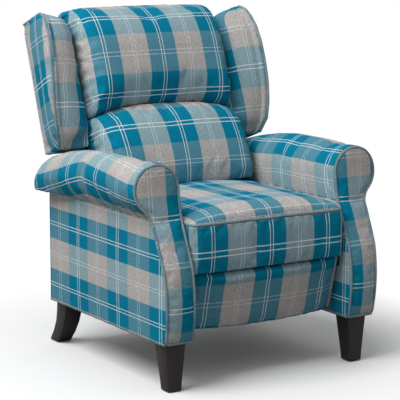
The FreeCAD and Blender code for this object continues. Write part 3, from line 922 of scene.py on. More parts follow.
        def place(p: float, q: float) -> Vector:
            k = round(q * around)
            share = along(p)
            xs, zs, _ = at(nominal(p))
            x, z = float(xs[k]), float(zs[k])
            start = front_y(z) + 3.0
            y = start + (ARM_REAR - start) * share
            if p > body:
                t = (p - body) / (1.0 - body)
                x = ARM_MIDDLE + (x - ARM_MIDDLE) * (1 - t)
                z = ROLL_SEAM + (z - ROLL_SEAM) * (1 - t)
                y += 4.0 * dome(t)
            seam = min(q, 1 - q) * 12
            here = spot(x, y, z)
            lift = 1.6 * ripple(here, 90.0, 7.0) * smooth(seam)
            lift += 0.9 * math.sin(y / 7.5 + 3.0 * ripple(here, 70.0, 9.0)) * math.exp(-8 * seam / 12)
            if side is Side.LEFT:
                off = (y - ROLL_FOLD - 6.0 * ripple(here, 90.0, 19.0)) / 9.0
                lift += (1.6 * math.exp(-(off + 1.6) ** 2) - 2.4 * math.exp(-off * off)) * smooth(seam)
            return here + Vector((x - ROLL_X, 0, z - 530.0)).normalized() * lift * MM

        def uv(p: float, q: float, middle: float) -> Pair:
            y = nominal(p)
            extra = max(0.0, p - body) / (1 - body) * 60.0
            row = (q * at(y)[2] - table(y, ROLL_ROWS[side])) / 95.0
            return row, table(y + extra, ROLL_COLUMNS[side])

        bm = grid(100, around, place, uv, lambda p, q: p < 0.001 or p > 0.9 or min(q, 1 - q) < 0.001)
        bmesh.ops.remove_doubles(bm, verts=bm.verts, dist=0.0002)
        outward(bm)
        return new_piece(f"{side.value}_arm_roll_soft", sided(bm, side))

    def side_panel(self, side: Side) -> bpy.types.Object:
        """Covered outer side, with a second panel that closes the rear of the arm."""
        low, high = BODY_BOTTOM, ROLL_SEAM + 2.0

        def spread(p: float, q: float) -> tuple[float, float, float]:
            z = low + (high - low) * q
            start = front_y(z) + 3.0
            y = start + (ARM_REAR + 3.0 - start) * p
            return y, z, min(y - start, z - low, high - z, ARM_REAR + 3.0 - y)

        def place(p: float, q: float) -> Vector:
            y, z, edge = spread(p, q)
            here = spot(0, y, z)
            out = 1.0 * dome(edge / 18.0) + 2.2 * smooth(edge / 140.0)
            out += 0.8 * ripple(here, 110.0, 13.0) * smooth(edge / 40.0)
            out += 0.9 * math.sin(y / 11.0 + 2.0 * ripple(here, 80.0, 17.0)) * math.exp(-(z - low) / 14.0)
            out += 1.4 * math.sin(y / 7.0 + 3.0 * ripple(here, 60.0, 15.0)) * math.exp(-(high - z) / 13.0)
            return spot(ARM_OUTER - 1.5 + out, y, z)

        def uv(p: float, q: float, middle: float) -> Pair:
            return self.side_bands.uv(*spread(p, q)[:2])

        bm = grid(100, 56, place, uv)
        add_skirt(bm, Vector((-7.0 * MM, 0, 0)))

        def end_place(p: float, q: float) -> Vector:
            x = ARM_INNER + (ARM_OUTER - 2.0 - ARM_INNER) * p
            z = low + (high - low) * q
            edge = min(x - ARM_INNER, ARM_OUTER - 2.0 - x, z - low, high - z)
            return spot(x, ARM_REAR + 2.5 + 2.0 * dome(edge / 25.0), z)

        def end_uv(p: float, q: float, middle: float) -> Pair:
            return self.side_bands.uv(ARM_REAR + (1 - p) * 90.0, low + (high - low) * q)

        end = grid(16, 50, end_place, end_uv)
        add_skirt(end, Vector((0, -4.0 * MM, 0)))
        spare = bpy.data.meshes.new("arm end")
        end.to_mesh(spare)
        end.free()
        bm.from_mesh(spare)
        bpy.data.meshes.remove(spare)
        return new_piece(f"{side.value}_outer_side_panel_soft", sided(bm, side))

    def inner_panel(self, side: Side) -> bpy.types.Object:
        """Covered seat side of the arm."""
        low, high = BODY_BOTTOM, ROLL_SEAM + 2.0

        def spread(p: float, q: float) -> tuple[float, float, float]:
            z = low + (high - low) * q
            start = front_y(z) + 3.0
            y = start + (ARM_REAR - start) * p
            return y, z, min(y - start, z - low, high - z, ARM_REAR - y)

        def place(p: float, q: float) -> Vector:
            y, z, edge = spread(p, q)
            return spot(ARM_INNER + 1.5 - 1.5 * dome(edge / 20.0), y, z)

        def uv(p: float, q: float, middle: float) -> Pair:
            return self.side_bands.uv(*spread(p, q)[:2])

        bm = grid(60, 34, place, uv)
        add_skirt(bm, Vector((8.0 * MM, 0, 0)))
        return new_piece(f"{side.value}_inner_arm_panel_soft", sided(bm, side))

    def build(self) -> None:
        """Makes and fits every soft piece of both arms."""
        self.shop.fit_pair(self.facing, "arm_facing", "base", Finish.CLOTH, Stuffing(0.9, 3.0, 0.02, 4.0))
        self.shop.fit_pair(self.piping, "facing_piping", "base", Finish.CORD)
        self.shop.fit_pair(self.roll, "arm_roll", "base", Finish.CLOTH, Stuffing(0.9, 3.0, 0.02, 5.0))
        self.shop.fit_pair(self.side_panel, "outer_side_panel", "base", Finish.CLOTH)
        self.shop.fit_pair(self.inner_panel, "inner_arm_panel", "base", Finish.CLOTH)


@dataclass
class Legs:
    """Tapered front legs and sabre rear legs."""

    shop: Workshop
    x: float = 303.0
    top: float = 62.0
    foot: float = 41.0
    rear_top: float = 58.0
    rear_foot: float = 47.0
    rear_line: tuple[Pair, ...] = ((605.0, 137.0), (611.0, 105.0), (622.0, 70.0), (643.0, 35.0), (670.0, 3.0))

    def leg(self, name: str, line: tuple[Pair, ...], top: float, foot: float, side: Side) -> bpy.types.Object:
        """Square leg along a line, with barely softened corners.

        Args:
            name: the piece's name.
            line: middle of the leg as y and z, from the top down.
            top: side of its square top.
            foot: side of its square foot.
            side: the side of the chair.

        Returns:
            The leg.
        """
        ys = [p[0] for p in line][::-1]
        zs = [p[1] for p in line][::-1]

        def place(a: float, b: float, c: float) -> Vector:
            share = (c + 1) / 2
            z = zs[0] + (zs[-1] - zs[0]) * share
            half = (foot + (top - foot) * share ** 1.15) / 2
            return spot(self.x + a * half, float(np.interp(z, zs, ys)) + b * half, z)

        bm = shaped_box((1, 1, 24), place, lambda v, n: (v.x, v.z))
        sharp = [e for e in bm.edges if len(e.link_faces) == 2 and e.calc_face_angle(0.0) > 1.0]
        bmesh.ops.bevel(bm, geom=sharp, offset=1.5 * MM, affect="EDGES", segments=2, profile=0.5, material=-1)
        leg = new_piece(name, sided(bm, side))
        leg.data.set_sharp_from_angle(angle=math.radians(28))
        return leg

    def build(self) -> None:
        """Makes and fits the four legs."""
        front_line = ((-5.0 + self.top / 2, 137.0), (self.foot / 2, 3.0))
        for side in Side:
            front = self.leg(f"{side.value}_front_leg_wood", front_line, self.top, self.foot, side)
            rear = self.leg(f"{side.value}_rear_leg_wood", self.rear_line, self.rear_top, self.rear_foot, side)
            self.shop.fit(front, "base", Finish.LEG, (f"{side.value}_front_leg",))
            self.shop.fit(rear, "base", Finish.LEG, (f"{side.value}_rear_leg",))


@dataclass
class Seat:
    """Crowned seat with a piped front edge, a boxed border and the cord between them."""

    shop: Workshop
    top_bands: Bands = Bands(95.0, 120.0, -47.5, 60.0)
    border_bands: Bands = Bands(95.0, 150.0, -47.5, 295.0)
    crown: float = 38.0

    def rounded(self, x: float, y: float, side: float, front: float, r: float) -> Pair:
        """Rounds the two front corners of the seat's plan."""
        dx = abs(x) - (side - r)
        dy = (front + r) - y
        if dx > 0 and dy > 0:
            shrink = max(dx, dy) / math.hypot(dx, dy)
            return math.copysign(side - r + dx * shrink, x), front + r - dy * shrink
        return x, y

    def top_z(self, x: float, y: float, d_front: float, d_side: float, d_rear: float) -> float:
        """Height of the seat's crowned top, with its swells and the puckers along its edge."""
        here = spot(x, y, 0)
        rise = 10.0 + (self.crown - 10.0) * (1 - (abs(x) / SEAT_HALF) ** 3)
        z = SEAM_Z + PIPING_R + 0.5 + rise * dome(d_front / 70.0) * dome(d_side / 48.0)
        z -= 22.0 * smooth((y - 380.0) / 170.0) * dome(d_side / 48.0) + 9.0 * (1 - dome(d_rear / 40.0))
        z += 3.0 * ripple(here, 130.0, 21.0) * smooth(d_front / 60.0)
        z += 1.5 * ripple(here, 45.0, 23.0) * smooth(d_front / 40.0)
        fold = math.sin((x if d_front < d_side else y) / 5.5 + 2.0 * ripple(here, 60.0, 5.0))
        return z + 1.2 * math.exp(-min(d_front, d_side) / 20.0) * fold

    def cushion(self) -> bpy.types.Object:
        """Seat cushion from the webbing to its crown."""
        front = SEAT_FRONT + 2.0
        edge_z = SEAM_Z + PIPING_R + 0.5
        side = SEAT_HALF - 1.0

        def place(a: float, b: float, c: float) -> Vector:
            x = side * math.sin(a * math.pi / 2) * 0.35 + side * a * 0.65
            t = (b + 1) / 2
            t = t * 0.75 + 0.25 * (1 - math.cos(t * math.pi)) / 2
            y = front + (SEAT_REAR - front) * t
            d_front, d_side, d_rear = y - front, side - abs(x), SEAT_REAR - y
            x, y = self.rounded(x, y, side, front, CORNER_R)
            if c > 0.999:
                return spot(x, y, self.top_z(x, y, d_front, d_side, d_rear))
            z = SEAT_BASE + (edge_z - 9.0 * (1 - dome(d_rear / 40.0)) - SEAT_BASE) * (c + 1) / 2
            if d_front < 30.0 and z < SEAM_Z - 4.0:
                y = max(y, SEAT_FRONT + BORDER_THICK + 1.0)
            return spot(x, y, z)

        def uv(v: Vector, n: Vector) -> Pair:
            here = place(v.x, v.y, v.z) / MM
            x, y, z = here.x, here.y + MIDDLE_Y, here.z
            if abs(n.z) > 0.5:
                return self.top_bands.uv(x, y)
            return self.top_bands.uv(x, edge_z - z) if abs(n.y) > 0.5 else self.top_bands.uv(y, z)

        return new_piece("seat_cushion_soft", shaped_box((84, 84, 8), place, uv, free=2))

    def border(self) -> bpy.types.Object:
        """Boxed front of the seat under the piping."""
        low, high = BORDER_BOTTOM, SEAM_Z - 3.0

        def place(a: float, b: float, c: float) -> Vector:
            x = SEAT_HALF * a
            y = SEAT_FRONT + BORDER_THICK * (1 - b) / 2
            z = low + (high - low) * (c + 1) / 2
            share = (1 + b) / 2
            here = spot(x, 0, z)
            edge = min(z - low, high - z)
            puff = 4.5 * dome(edge / 45.0) + 1.4 * ripple(here, 90.0, 31.0) * smooth(edge / 25.0)
            puff += 1.1 * math.sin(x / 6.0 + 2.5 * ripple(here, 70.0, 33.0)) * math.exp(-(high - z) / 16.0)
            x, y = self.rounded(x, y, SEAT_HALF, SEAT_FRONT, CORNER_R - 1.0)
            return spot(x, y - puff * share + 1.5, z)

        def uv(v: Vector, n: Vector) -> Pair:
            across = SEAT_HALF * v.x + (v.y - 1) * 12 * n.x
            return self.border_bands.uv(across, low + (high - low) * (v.z + 1) / 2)

        return new_piece("seat_front_border_soft", shaped_box((88, 5, 28), place, uv, free=1))

    def piping(self) -> bpy.types.Object:
        """Covered cord round the front edge of the seat."""
        front = SEAT_FRONT + PIPING_R
        side = SEAT_HALF - PIPING_R
        r = CORNER_R - PIPING_R
        end = 60.0
        k = r * (1 - math.sqrt(0.5))
        corner = arc((side, front + r), (side - k, front + k), (side - r, front), 10)
        half = [(side, end + (front + r - end) * i / 8) for i in range(8)] + corner
        right = half + [((side - r) * (1 - i / 20), front) for i in range(1, 21)]
        path = right + [(-x, y) for x, y in right[-2::-1]]
        places = [spot(x, y - 1.0 + 0.6 * ripple(spot(x, y, 0), 50.0, 41.0),
                       SEAM_Z + 0.8 * ripple(spot(x, y, 9), 70.0, 43.0)) for x, y in path]
        return new_piece("seat_piping_soft", sweep(places, PIPING_R + 0.4, False))

    def build(self) -> None:
        """Makes and fits the seat."""
        self.shop.fit(self.cushion(), "seat", Finish.CLOTH, ("seat_cushion",), Stuffing(0.8, 3.0, 0.025, 7.0))
        self.shop.fit(self.border(), "seat", Finish.CLOTH, ("seat_front_border",),
                      Stuffing(0.9, 2.5, 0.02, 4.0))
        self.shop.fit(self.piping(), "seat", Finish.CORD, ("seat_piping",))


@dataclass
class Footrest:
    """Padded panel that closes the front and swings out as a footrest."""

    shop: Workshop
    bands: Bands = Bands(95.0, 119.0, -47.5, -29.0)
    depth: float = 30.0

    def place(self, a: float, b: float, c: float) -> Vector:
        """Place on the pad: a across, b from the top down, c from the board outward."""
        length = math.dist(BOARD_TOP, BOARD_BOTTOM)
        along = ((BOARD_BOTTOM[0] - BOARD_TOP[0]) / length, (BOARD_BOTTOM[1] - BOARD_TOP[1]) / length)
        out = (along[1], -along[0])
        x = PAD_HALF * a
        down = -2.0 + (length + 6.0) * (b + 1) / 2
        e_side = PAD_HALF - abs(x)
        e_top = down + 2.0
        e_low = length + 4.0 - down
        full = 9.0 + (self.depth - 4.0) * (1 - abs(a) ** 3.2)
        share = (0.45 + 0.55 * dome(e_top / 22.0)) * (0.3 + 0.7 * dome(e_low / 38.0))
        share *= 0.35 + 0.65 * dome(e_side / 30.0)
        d = full * share * (c + 1) / 2
        down += 9.0 * (1 - abs(a) ** 2.5) * smooth((down - 90.0) / 70.0)
        here = spot(x, 0, down)
        if c > 0.0:
            d += 1.6 * ripple(here, 100.0, 51.0) * smooth(min(e_side, e_top, e_low) / 30.0)
            d += 1.2 * math.sin(x / 8.0 + 2.5 * ripple(here, 60.0, 53.0)) * math.exp(-min(e_top, e_low) / 14.0)
        y, z = (BOARD_TOP[i] + along[i] * down + out[i] * d for i in range(2))
        return spot(x, y, z)

    def build(self) -> None:
        """Makes and fits the pad, wrapped round its board."""
        def uv(v: Vector, n: Vector) -> Pair:
            down = 160.0 * (v.y + 1) / 2
            if abs(n.z) > 0.5 or abs(n.y) > 0.5:
                return self.bands.uv(PAD_HALF * v.x, -down - (v.z - 1) * 12 * n.y)
            return self.bands.uv(PAD_HALF * v.x + (1 - v.z) * 12 * n.x, -down)

        pad = new_piece("footrest_pad_soft", shaped_box((88, 36, 8), self.place, uv, free=2))
        self.shop.fit(pad, "footrest", Finish.CLOTH, ("footrest_pad",), Stuffing(0.85, 3.0, 0.012, 4.0))


@dataclass
class Back:
    """Pillow back: upper pillow, lumbar pillow, wings and the outer back."""

    shop: Workshop
    upper_bands: Bands = Bands(95.0, 120.0, -47.5, 307.0)
    lumbar_bands: Bands = Bands(95.0, 120.0, -47.5, 202.0)
    outer_wing_bands: Bands = Bands(95.0, 125.0, 40.0, 371.0)
    rear_bands: Bands = Bands(105.0, 120.0, -52.5, 307.0)
    inset: float = 14.0        # how far the front seam of a pillow lies inside its fullest width
    roll_over: float = 160.0   # length over which the upper pillow curves back to its crest
    crest: float = 0.43        # share of its thickness that is left at the crest

    def crease(self, x: float) -> float:
        """Height of the crease between the pillows at x."""
        return CREASE + CREASE_RISE * (1 - (abs(x) / PILLOW_HALF) ** 3)

    def boxing_x(self, x: float, share: float, height: float, swell: float, seed: float) -> float:
        """Gathered side of a pillow: full in the middle, drawn in to its seams.

        Args:
            x: sideways place of its front seam.
            share: 0 at the rear to 1 at the front seam.
            height: height up the back.
            swell: how far it bulges.
            seed: separates one pillow from the other.

        Returns:
            The sideways place of the gathered cloth.
        """
        here = spot(0, 90.0 * share, height)
        between = 4.0 * share * (1 - share)
        fold = math.sin(height / 6.0 + 2.4 * ripple(here, 45.0, seed))
        fold *= 0.8 + 0.6 * ripple(here, 30.0, seed + 2)
        out = self.inset * (1 - share ** 3) - 9.0 * (1 - share) ** 2 + (swell + 2.6 * fold) * between
        return math.copysign(abs(x) + out, x)

    def pillow_uv(self, here: Vector, n: Vector, bands: Bands, front: float,
                  length: Callable[[float], float]) -> Pair:
        """Cloth coordinates on a pillow.

        Args:
            here: the place in metres.
            n: outward axis of its face.
            bands: the pillow's bands.
            front: depth at which the cloth of its front turns back.
            length: length of the cloth up to a height.

        Returns:
            Counts of bands.
        """
        y = here.y / MM + MIDDLE_Y - BACK_FOOT[0]
        z = here.z / MM - BACK_FOOT[1]
        u = z * math.cos(BACK_RAKE) + y * math.sin(BACK_RAKE)
        w = z * math.sin(BACK_RAKE) - y * math.cos(BACK_RAKE)
        if abs(n.x) > 0.5:
            return bands.uv(n.x * (PILLOW_HALF + front - w), u)
        if n.y > 0.5:
            return bands.uv(here.x / MM, length(1000.0) + self.crest * front - w)
        return bands.uv(here.x / MM, u - front + w if n.y < -0.5 else length(u))

    def upper(self) -> bpy.types.Object:
        """Upper pillow, rolled over the top of the frame."""
        steps = np.linspace(0.0, 1.0, 200) ** 2 * self.roll_over
        depths = np.array([176.0 * (self.crest + (1 - self.crest) * dome(e / self.roll_over)) for e in steps])
        lengths = np.concatenate(([0.0], np.cumsum(np.hypot(np.diff(steps), np.diff(depths)))))
        top = 664.0

        def length(u: float) -> float:
            if u < top - self.roll_over:
                return u
            return top - self.roll_over + float(lengths[-1] - np.interp(max(top - u, 0.0), steps, lengths))

        def place(a: float, b: float, c: float) -> Vector:
            x = (PILLOW_HALF - self.inset) * (0.7 * a + 0.3 * math.sin(a * math.pi / 2))
            t = 1 - (1 - (b + 1) / 2) ** 1.5
            bulge = 1 - abs(a) ** 3
            low = self.crease(x) + 1.0
            high = 657.0 + 7.0 * bulge
            u = low + (high - low) * t
            e_low, e_top, e_side = u - low, high - u, PILLOW_HALF - self.inset - abs(x)
            front = (172.0 + 6.0 * bulge) * (self.crest + (1 - self.crest) * dome(e_top / self.roll_over))
            front *= 0.70 + 0.30 * dome(e_low / (85.0 + 25.0 * bulge))
            front -= 10.0 * (1 - dome(e_side / 26.0))
            share = (c + 1) / 2
            rear = PILLOW_REAR if u < BACK_TOP - 9 else BACK_SKIN + 1
            depth = rear + (front - rear) * share
            here = spot(x, 0, u)
            if c > 0.999:
                near = min(e_low, e_top, e_side)
                depth += 3.0 * ripple(here, 120.0, 61.0) * smooth(near / 50.0)
                depth += 1.4 * math.sin(x / 9.0 + 2.5 * ripple(here, 70.0, 63.0)) * math.exp(-e_low / 16.0)
                depth += 1.3 * math.sin(u / 8.0 + 2.0 * ripple(here, 60.0, 65.0)) * math.exp(-e_side / 18.0)
            if b > 0.999:
                u += 5.0 * math.sin(math.pi * share) - 7.0 * (1 - share) ** 2
            if abs(a) > 0.999:
                x = self.boxing_x(x, share, u, 4.0, 67.0)
            return leaned(x, u, depth)

        def uv(v: Vector, n: Vector) -> Pair:
            return self.pillow_uv(place(v.x, v.y, v.z), n, self.upper_bands, 176.0, length)

        return new_piece("upper_back_cushion_soft", shaped_box((72, 66, 14), place, uv, free=2))

    def lumbar(self) -> bpy.types.Object:
        """Lumbar pillow, fullest at its foot and drawn in under the crease."""
        def place(a: float, b: float, c: float) -> Vector:
            x = (PILLOW_HALF - self.inset + 2.0) * (0.7 * a + 0.3 * math.sin(a * math.pi / 2))
            t = 1 - (1 - (b + 1) / 2) ** 1.3
            bulge = 1 - abs(a) ** 3
            share = (c + 1) / 2
            high = self.crease(x) - 1.0
            low = 117.0 - 35.0 * share
            u = low + (high - low) * t
            e_low, e_top, e_side = u - low, high - u, PILLOW_HALF - self.inset + 2.0 - abs(x)
            front = (205.0 + 6.0 * bulge) * (0.56 + 0.44 * dome(e_top / 175.0))
            front *= 0.90 + 0.10 * dome(e_low / 36.0)
            front -= 9.0 * (1 - dome(e_side / 26.0))
            depth = PILLOW_REAR + (front - PILLOW_REAR) * share
            here = spot(x, 0, u)
            if c > 0.999:
                depth += 3.0 * ripple(here, 120.0, 71.0) * smooth(min(e_low, e_top, e_side) / 50.0)
                depth += 1.2 * math.sin(x / 9.0 + 2.5 * ripple(here, 70.0, 73.0)) * math.exp(-e_top / 16.0)
                depth += 1.4 * math.sin(u / 8.0 + 2.0 * ripple(here, 60.0, 75.0)) * math.exp(-e_side / 18.0)
            if abs(a) > 0.999:
                x = self.boxing_x(x, share, u, 3.0, 77.0)
            return leaned(x, u, depth)

        def uv(v: Vector, n: Vector) -> Pair:
            if n.y > 0.5:
                n = Vector((0.0, 0.0, 1.0))
            return self.pillow_uv(place(v.x, v.y, v.z), n, self.lumbar_bands, 200.0, lambda u: u)

        return new_piece("lumbar_cushion_soft", shaped_box((72, 52, 14), place, uv, free=2))

    def wing_at(self, u: float) -> Pair:
        """Depth and half width of the wing's front edge at a height."""
        heights = [row[0] for row in WING_EDGE]
        return (float(np.interp(u, heights, [row[1] for row in WING_EDGE])),
                float(np.interp(u, heights, [row[2] for row in WING_EDGE])))

    def wing_root(self, u: float) -> Pair:
        """Inner end of the wing's padded face, which slants toward the front edge near the top."""
        depth, outer = self.wing_at(u)
        share = table(u, WING_SLOPE)
        return (BACK_HALF + (outer - 24.0 - BACK_HALF) * share,
                table(u, WING_ROOT) * (1 - share) + (depth - 12.0) * share)

    def wing_section(self, u: float) -> np.ndarray:
        """Section of the wing at a height, from the rear outside round the front to the root."""
        depth, outer = self.wing_at(u)
        root = self.wing_root(u)
        lip = (outer - 24.0, depth - 12.0)
        chord = (lip[0] - root[0], lip[1] - root[1])
        long = math.hypot(*chord) + 0.01
        swell = 0.13 * long * smooth((u - 230.0) / 60.0) + 0.4
        middle = (0.5 * (root[0] + lip[0]) - swell * chord[1] / long,
                  0.5 * (root[1] + lip[1]) + swell * chord[0] / long)
        points = [(BACK_OUTER + (outer - BACK_OUTER) * i / 20, BACK_SKIN + (depth - 9.0 - BACK_SKIN) * i / 20)
                  for i in range(21)]
        points += arc((outer, depth - 9.0), (outer - 11.0, depth), lip, 10)[1:]
        points += arc(lip, middle, root, 24)[1:]
        points += [(root[0] + 3.0, root[1] - 8.0)]
        points += [(root[0] + 4.0, (root[1] - 8.0) * (1 - i / 6) + BACK_SKIN * i / 6) for i in range(1, 7)]
        return np.array(points)

    def wing(self, side: Side) -> bpy.types.Object:
        """Padded wing, closed at its rear, top and bottom."""
        around, at_cord, cord_point, root_point = 76, 30, 25, 54
        low, high = WING_BOTTOM - 4.0, WING_TOP
        body = (0.06, 0.93)

        @lru_cache(maxsize=None)
        def at(u: float) -> tuple[np.ndarray, np.ndarray, np.ndarray, float]:
            points = self.wing_section(u)
            length = np.concatenate(([0.0], np.cumsum(np.hypot(*np.diff(points, axis=0).T))))
            where = np.concatenate((np.linspace(0.0, length[cord_point], at_cord + 1),
                                    np.linspace(length[cord_point], length[-1], around - at_cord + 1)[1:]))
            return (np.interp(where, length, points[:, 0]), np.interp(where, length, points[:, 1]), where,
                    float(length[root_point]))

        def height(q: float) -> float:
            t = min(max((q - body[0]) / (body[1] - body[0]), 0.0), 1.0)
            return round(low + (high - low) * (1 - (1 - t) ** 1.5), 3)

        def place(p: float, q: float) -> Vector:
            k = round(p * around)
            u = height(q)
            xs, ws, _, _ = at(u)
            x, w = float(xs[k]), float(ws[k])
            middle = (0.5 * (self.wing_root(u)[0] + BACK_OUTER) + 3.0, 50.0)
            if q < body[0]:
                t = 1 - q / body[0]
                x, w = x + (middle[0] - x) * t, w + (middle[1] - w) * t
            elif q > body[1]:
                t = (q - body[1]) / (1 - body[1])
                x, w = x + (middle[0] - x) * t, w + (middle[1] - w) * t
                u += 2.5 * dome(t)
            else:
                inner = smooth((p - 0.43) * 12) * smooth((0.78 - p) * 10)
                here = spot(x, w, u)
                push = 2.0 * ripple(here, 80.0, 81.0) * inner
                fold = math.sin(u / 9.0 + 2.0 * ripple(here, 60.0, 83.0))
                push += 1.2 * fold * inner * smooth((p - 0.6) * 6)
                x -= push
                w += push
                x += 0.8 * ripple(here, 100.0, 85.0) * smooth(p * 8) * smooth((0.36 - p) * 10)
            return leaned(x, u, w)

        def uv(p: float, q: float, middle: float) -> Pair:
            u = height(q)
            _, _, where, root = at(u)
            s = float(where[round(p * around)])
            if middle < at_cord / around:
                return self.outer_wing_bands.uv(s, u)
            return (root - s - table(u, WING_COLUMNS[side])) / 95.0 + 1.0, (u - WING_ROWS[side]) / 125.0

        cord_share = at_cord / around
        bm = grid(around, 90, place, uv, lambda p, q: not body[0] < q < body[1] or p < 0.01 or p > 0.8
                  or abs(p - cord_share) < 0.01)
        bmesh.ops.remove_doubles(bm, verts=bm.verts, dist=0.0002)
        close(bm, [e for e in bm.edges if e.is_boundary])
        return new_piece(f"{side.value}_wing_soft", sided(bm, side))

    def wing_piping(self, side: Side) -> bpy.types.Object:
        """Covered cord along the wing's front edge and over its top to the rear."""
        path = []
        for i in range(61):
            u = WING_BOTTOM - 2.0 + (WING_TOP + 2.0 - WING_BOTTOM) * (1 - (1 - i / 60) ** 1.4)
            depth, outer = self.wing_at(u)
            path.append(leaned(outer - 6.0, u, depth - 1.0))
        depth, outer = self.wing_at(WING_TOP)
        for i in range(1, 13):
            t = i / 12
            path.append(leaned(outer - 6.0 + 4.0 * t, WING_TOP + 1.0 - 3.0 * t, (depth - 1.0) * (1 - t) + 10.0 * t))
        return new_piece(f"{side.value}_wing_piping_soft", sided(sweep(path, PIPING_R, False), side))

    def rear_panel(self, name: str, half: float, low: float, high: float, corner: float) -> bpy.types.Object:
        """Covered board of the outer back.

        Args:
            name: the piece's name.
            half: half its width.
            low: height of its lower edge.
            high: height of its upper edge.
            corner: radius of its upper corners.

        Returns:
            The panel.
        """
        def place(a: float, b: float, c: float) -> Vector:
            x = half * a
            u = low + (high - low) * (b + 1) / 2
            dx, du = abs(x) - (half - corner), u - (high - corner)
            edge = min(half - abs(x), u - low, high - u)
            if dx > 0 and du > 0:
                shrink = max(dx, du) / math.hypot(dx, du)
                x = math.copysign(half - corner + dx * shrink, x)
                u = high - corner + du * shrink
            swell = 3.0 * dome(edge / 22.0) + 3.0 * smooth(edge / 160.0)
            swell += 1.0 * ripple(spot(x, 0, u), 140.0, 91.0) * smooth(edge / 60.0)
            return leaned(x, u, BACK_SKIN if c > 0 else 3.0 - swell)

        def uv(v: Vector, n: Vector) -> Pair:
            along = low + (high - low) * (v.y + 1) / 2 + 6 * v.z * n.y
            return self.rear_bands.uv(half * v.x + 6 * v.z * n.x, along)

        return new_piece(name, shaped_box((60, 40, 1), place, uv))

    def build(self) -> None:
        """Makes and fits the back."""
        self.shop.fit(self.upper(), "back", Finish.CLOTH, ("upper_back_cushion",),
                      Stuffing(0.85, 3.0, 0.03, 7.0))
        self.shop.fit(self.lumbar(), "back", Finish.CLOTH, ("lumbar_cushion",),
                      Stuffing(0.9, 3.0, 0.03, 7.0))
        self.shop.fit_pair(self.wing, "wing", "back", Finish.CLOTH, Stuffing(0.8, 3.0, 0.02, 4.0))
        self.shop.fit_pair(self.wing_piping, "wing_piping", "back", Finish.CORD)
        top = self.rear_panel("outer_back_panel_soft", BACK_OUTER, WING_BOTTOM, BACK_TOP, 34.0)
        low = self.rear_panel("lower_back_panel_soft", BACK_HALF, 0.0, WING_BOTTOM - 0.5, 2.0)
        self.shop.fit(top, "back", Finish.CLOTH, ("outer_back_panel",))
        self.shop.fit(low, "back", Finish.CLOTH, ("lower_back_panel",))


@dataclass
class RearRail:
    """Covered rail between the arms at the rear."""

    shop: Workshop
    low: float = 150.0
    high: float = 325.0
    front: float = 612.0
    bands: Bands = Bands(105.0, 91.7, -52.5, 244.3)

    def build(self) -> None:
        """Makes and fits the rail."""
        def place(a: float, b: float, c: float) -> Vector:
            z = self.low + (self.high - self.low) * (c + 1) / 2
            y = self.front + (ARM_REAR - self.front) * (b + 1) / 2
            edge = min(z - self.low, self.high - z)
            return spot((ARM_INNER - 0.5) * a, y + (2.0 * dome(edge / 30.0) if b > 0.9 else 0.0), z)

        def uv(v: Vector, n: Vector) -> Pair:
            z = self.low + (self.high - self.low) * (v.z + 1) / 2
            return self.bands.uv(ARM_INNER * v.x, z + 13 * v.y * n.z)

        piece = new_piece("rear_rail_soft", shaped_box((50, 2, 20), place, uv))
        self.shop.fit(piece, "base", Finish.CLOTH, ("rear_rail",))


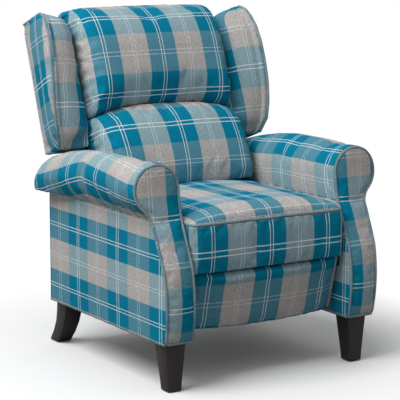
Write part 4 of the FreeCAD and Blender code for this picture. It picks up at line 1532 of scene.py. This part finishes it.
@dataclass
class Studio:
    """White studio sweep, one large soft lamp and the camera of the photograph."""

    azimuth: float = math.radians(-31.93)
    elevation: float = math.radians(9.74)
    distance: float = 5.0115
    lens_mm: float = 154.33
    target: tuple[float, float, float] = (0.0, 359.3, 447.6)

    def camera(self) -> None:
        """Places the camera at the photograph's viewing angle."""
        data = bpy.data.cameras.new("camera")
        data.lens = self.lens_mm
        data.sensor_width = 36.0
        camera = bpy.data.objects.new("camera", data)
        bpy.context.scene.collection.objects.link(camera)
        away = Vector((math.sin(self.azimuth) * math.cos(self.elevation),
                       -math.cos(self.azimuth) * math.cos(self.elevation), math.sin(self.elevation)))
        camera.location = spot(*self.target) + away * self.distance
        camera.rotation_euler = away.to_track_quat("Z", "Y").to_euler()
        bpy.context.scene.camera = camera

    def lamp(self, name: str, place: tuple[float, float, float], size: float, power: float) -> None:
        """Adds a square soft lamp that faces the chair."""
        data = bpy.data.lights.new(name, "AREA")
        data.size = size
        data.energy = power
        lamp = bpy.data.objects.new(name, data)
        bpy.context.scene.collection.objects.link(lamp)
        lamp.location = place
        lamp.rotation_euler = (Vector(place) - Vector((0, 0, 0.45))).to_track_quat("Z", "Y").to_euler()

    def floor(self) -> None:
        """Pale floor whose far parts melt into a white background, and which throws little light back up."""
        bm = bmesh.new()
        bmesh.ops.create_circle(bm, cap_ends=True, segments=96, radius=14.0)
        floor = new_piece("floor", bm)
        m, output = blank("white studio floor")
        path = add_node(m, "ShaderNodeLightPath")
        coords = add_node(m, "ShaderNodeTexCoord").outputs["Object"]
        reach = add_node(m, "ShaderNodeVectorMath", {0: coords}, operation="LENGTH").outputs["Value"]
        far = add_node(m, "ShaderNodeMapRange", {"Value": reach, "From Min": 0.52, "From Max": 0.95}).outputs[0]
        veil = add_node(m, "ShaderNodeMath", {0: far, 1: path.outputs["Is Camera Ray"]}, operation="MULTIPLY")
        shown = add_node(m, "ShaderNodeMix", {"Factor": path.outputs["Is Camera Ray"], 6: linear("898989"),
                                              7: linear("FCFCFC")}, data_type="RGBA").outputs[2]
        paint = add_node(m, "ShaderNodeBsdfDiffuse", {"Color": shown})
        glow = add_node(m, "ShaderNodeEmission", {"Color": linear("FFFFFF"), "Strength": 1.0})
        mix = add_node(m, "ShaderNodeMixShader", {0: veil.outputs[0], 1: paint.outputs[0], 2: glow.outputs[0]})
        m.node_tree.links.new(mix.outputs[0], output.inputs[0])
        floor.data.materials.append(m)

    def world(self) -> None:
        """Even white surroundings, full white where seen straight or in a reflection."""
        world = bpy.data.worlds.new("studio")
        bpy.context.scene.world = world
        world.use_nodes = True
        nodes = world.node_tree.nodes
        links = world.node_tree.links
        nodes.clear()
        output = nodes.new("ShaderNodeOutputWorld")
        background = nodes.new("ShaderNodeBackground")
        path = nodes.new("ShaderNodeLightPath")
        seen = path.outputs["Is Camera Ray"]
        for ray in ("Is Glossy Ray", "Is Transmission Ray"):
            either = nodes.new("ShaderNodeMath")
            either.operation = "MAXIMUM"
            links.new(seen, either.inputs[0])
            links.new(path.outputs[ray], either.inputs[1])
            seen = either.outputs[0]
        strength = nodes.new("ShaderNodeMapRange")
        strength.inputs["To Min"].default_value = 0.42
        strength.inputs["To Max"].default_value = 1.0
        background.inputs[0].default_value = (1, 1, 1, 1)
        links.new(seen, strength.inputs[0])
        links.new(strength.outputs[0], background.inputs[1])
        links.new(background.outputs[0], output.inputs[0])

    def build(self) -> None:
        """Sets up the whole studio."""
        self.camera()
        self.floor()
        self.world()
        self.lamp("key", (-2.98, -0.58, 4.19), 3.0, 196.0)
        bpy.context.scene.view_settings.view_transform = "Standard"


def main() -> None:
    """Builds the chair's looks around the frame, group by group."""
    logging.basicConfig(level=logging.INFO, format="%(name)s %(message)s")
    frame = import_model()
    Studio().build()
    shop = Workshop(frame)
    shop.dress_nodes()
    Arms(shop).build()
    Legs(shop).build()
    Seat(shop).build()
    Footrest(shop).build()
    Back(shop).build()
    RearRail(shop).build()
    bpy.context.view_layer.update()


if __name__ == "__main__":
    main()
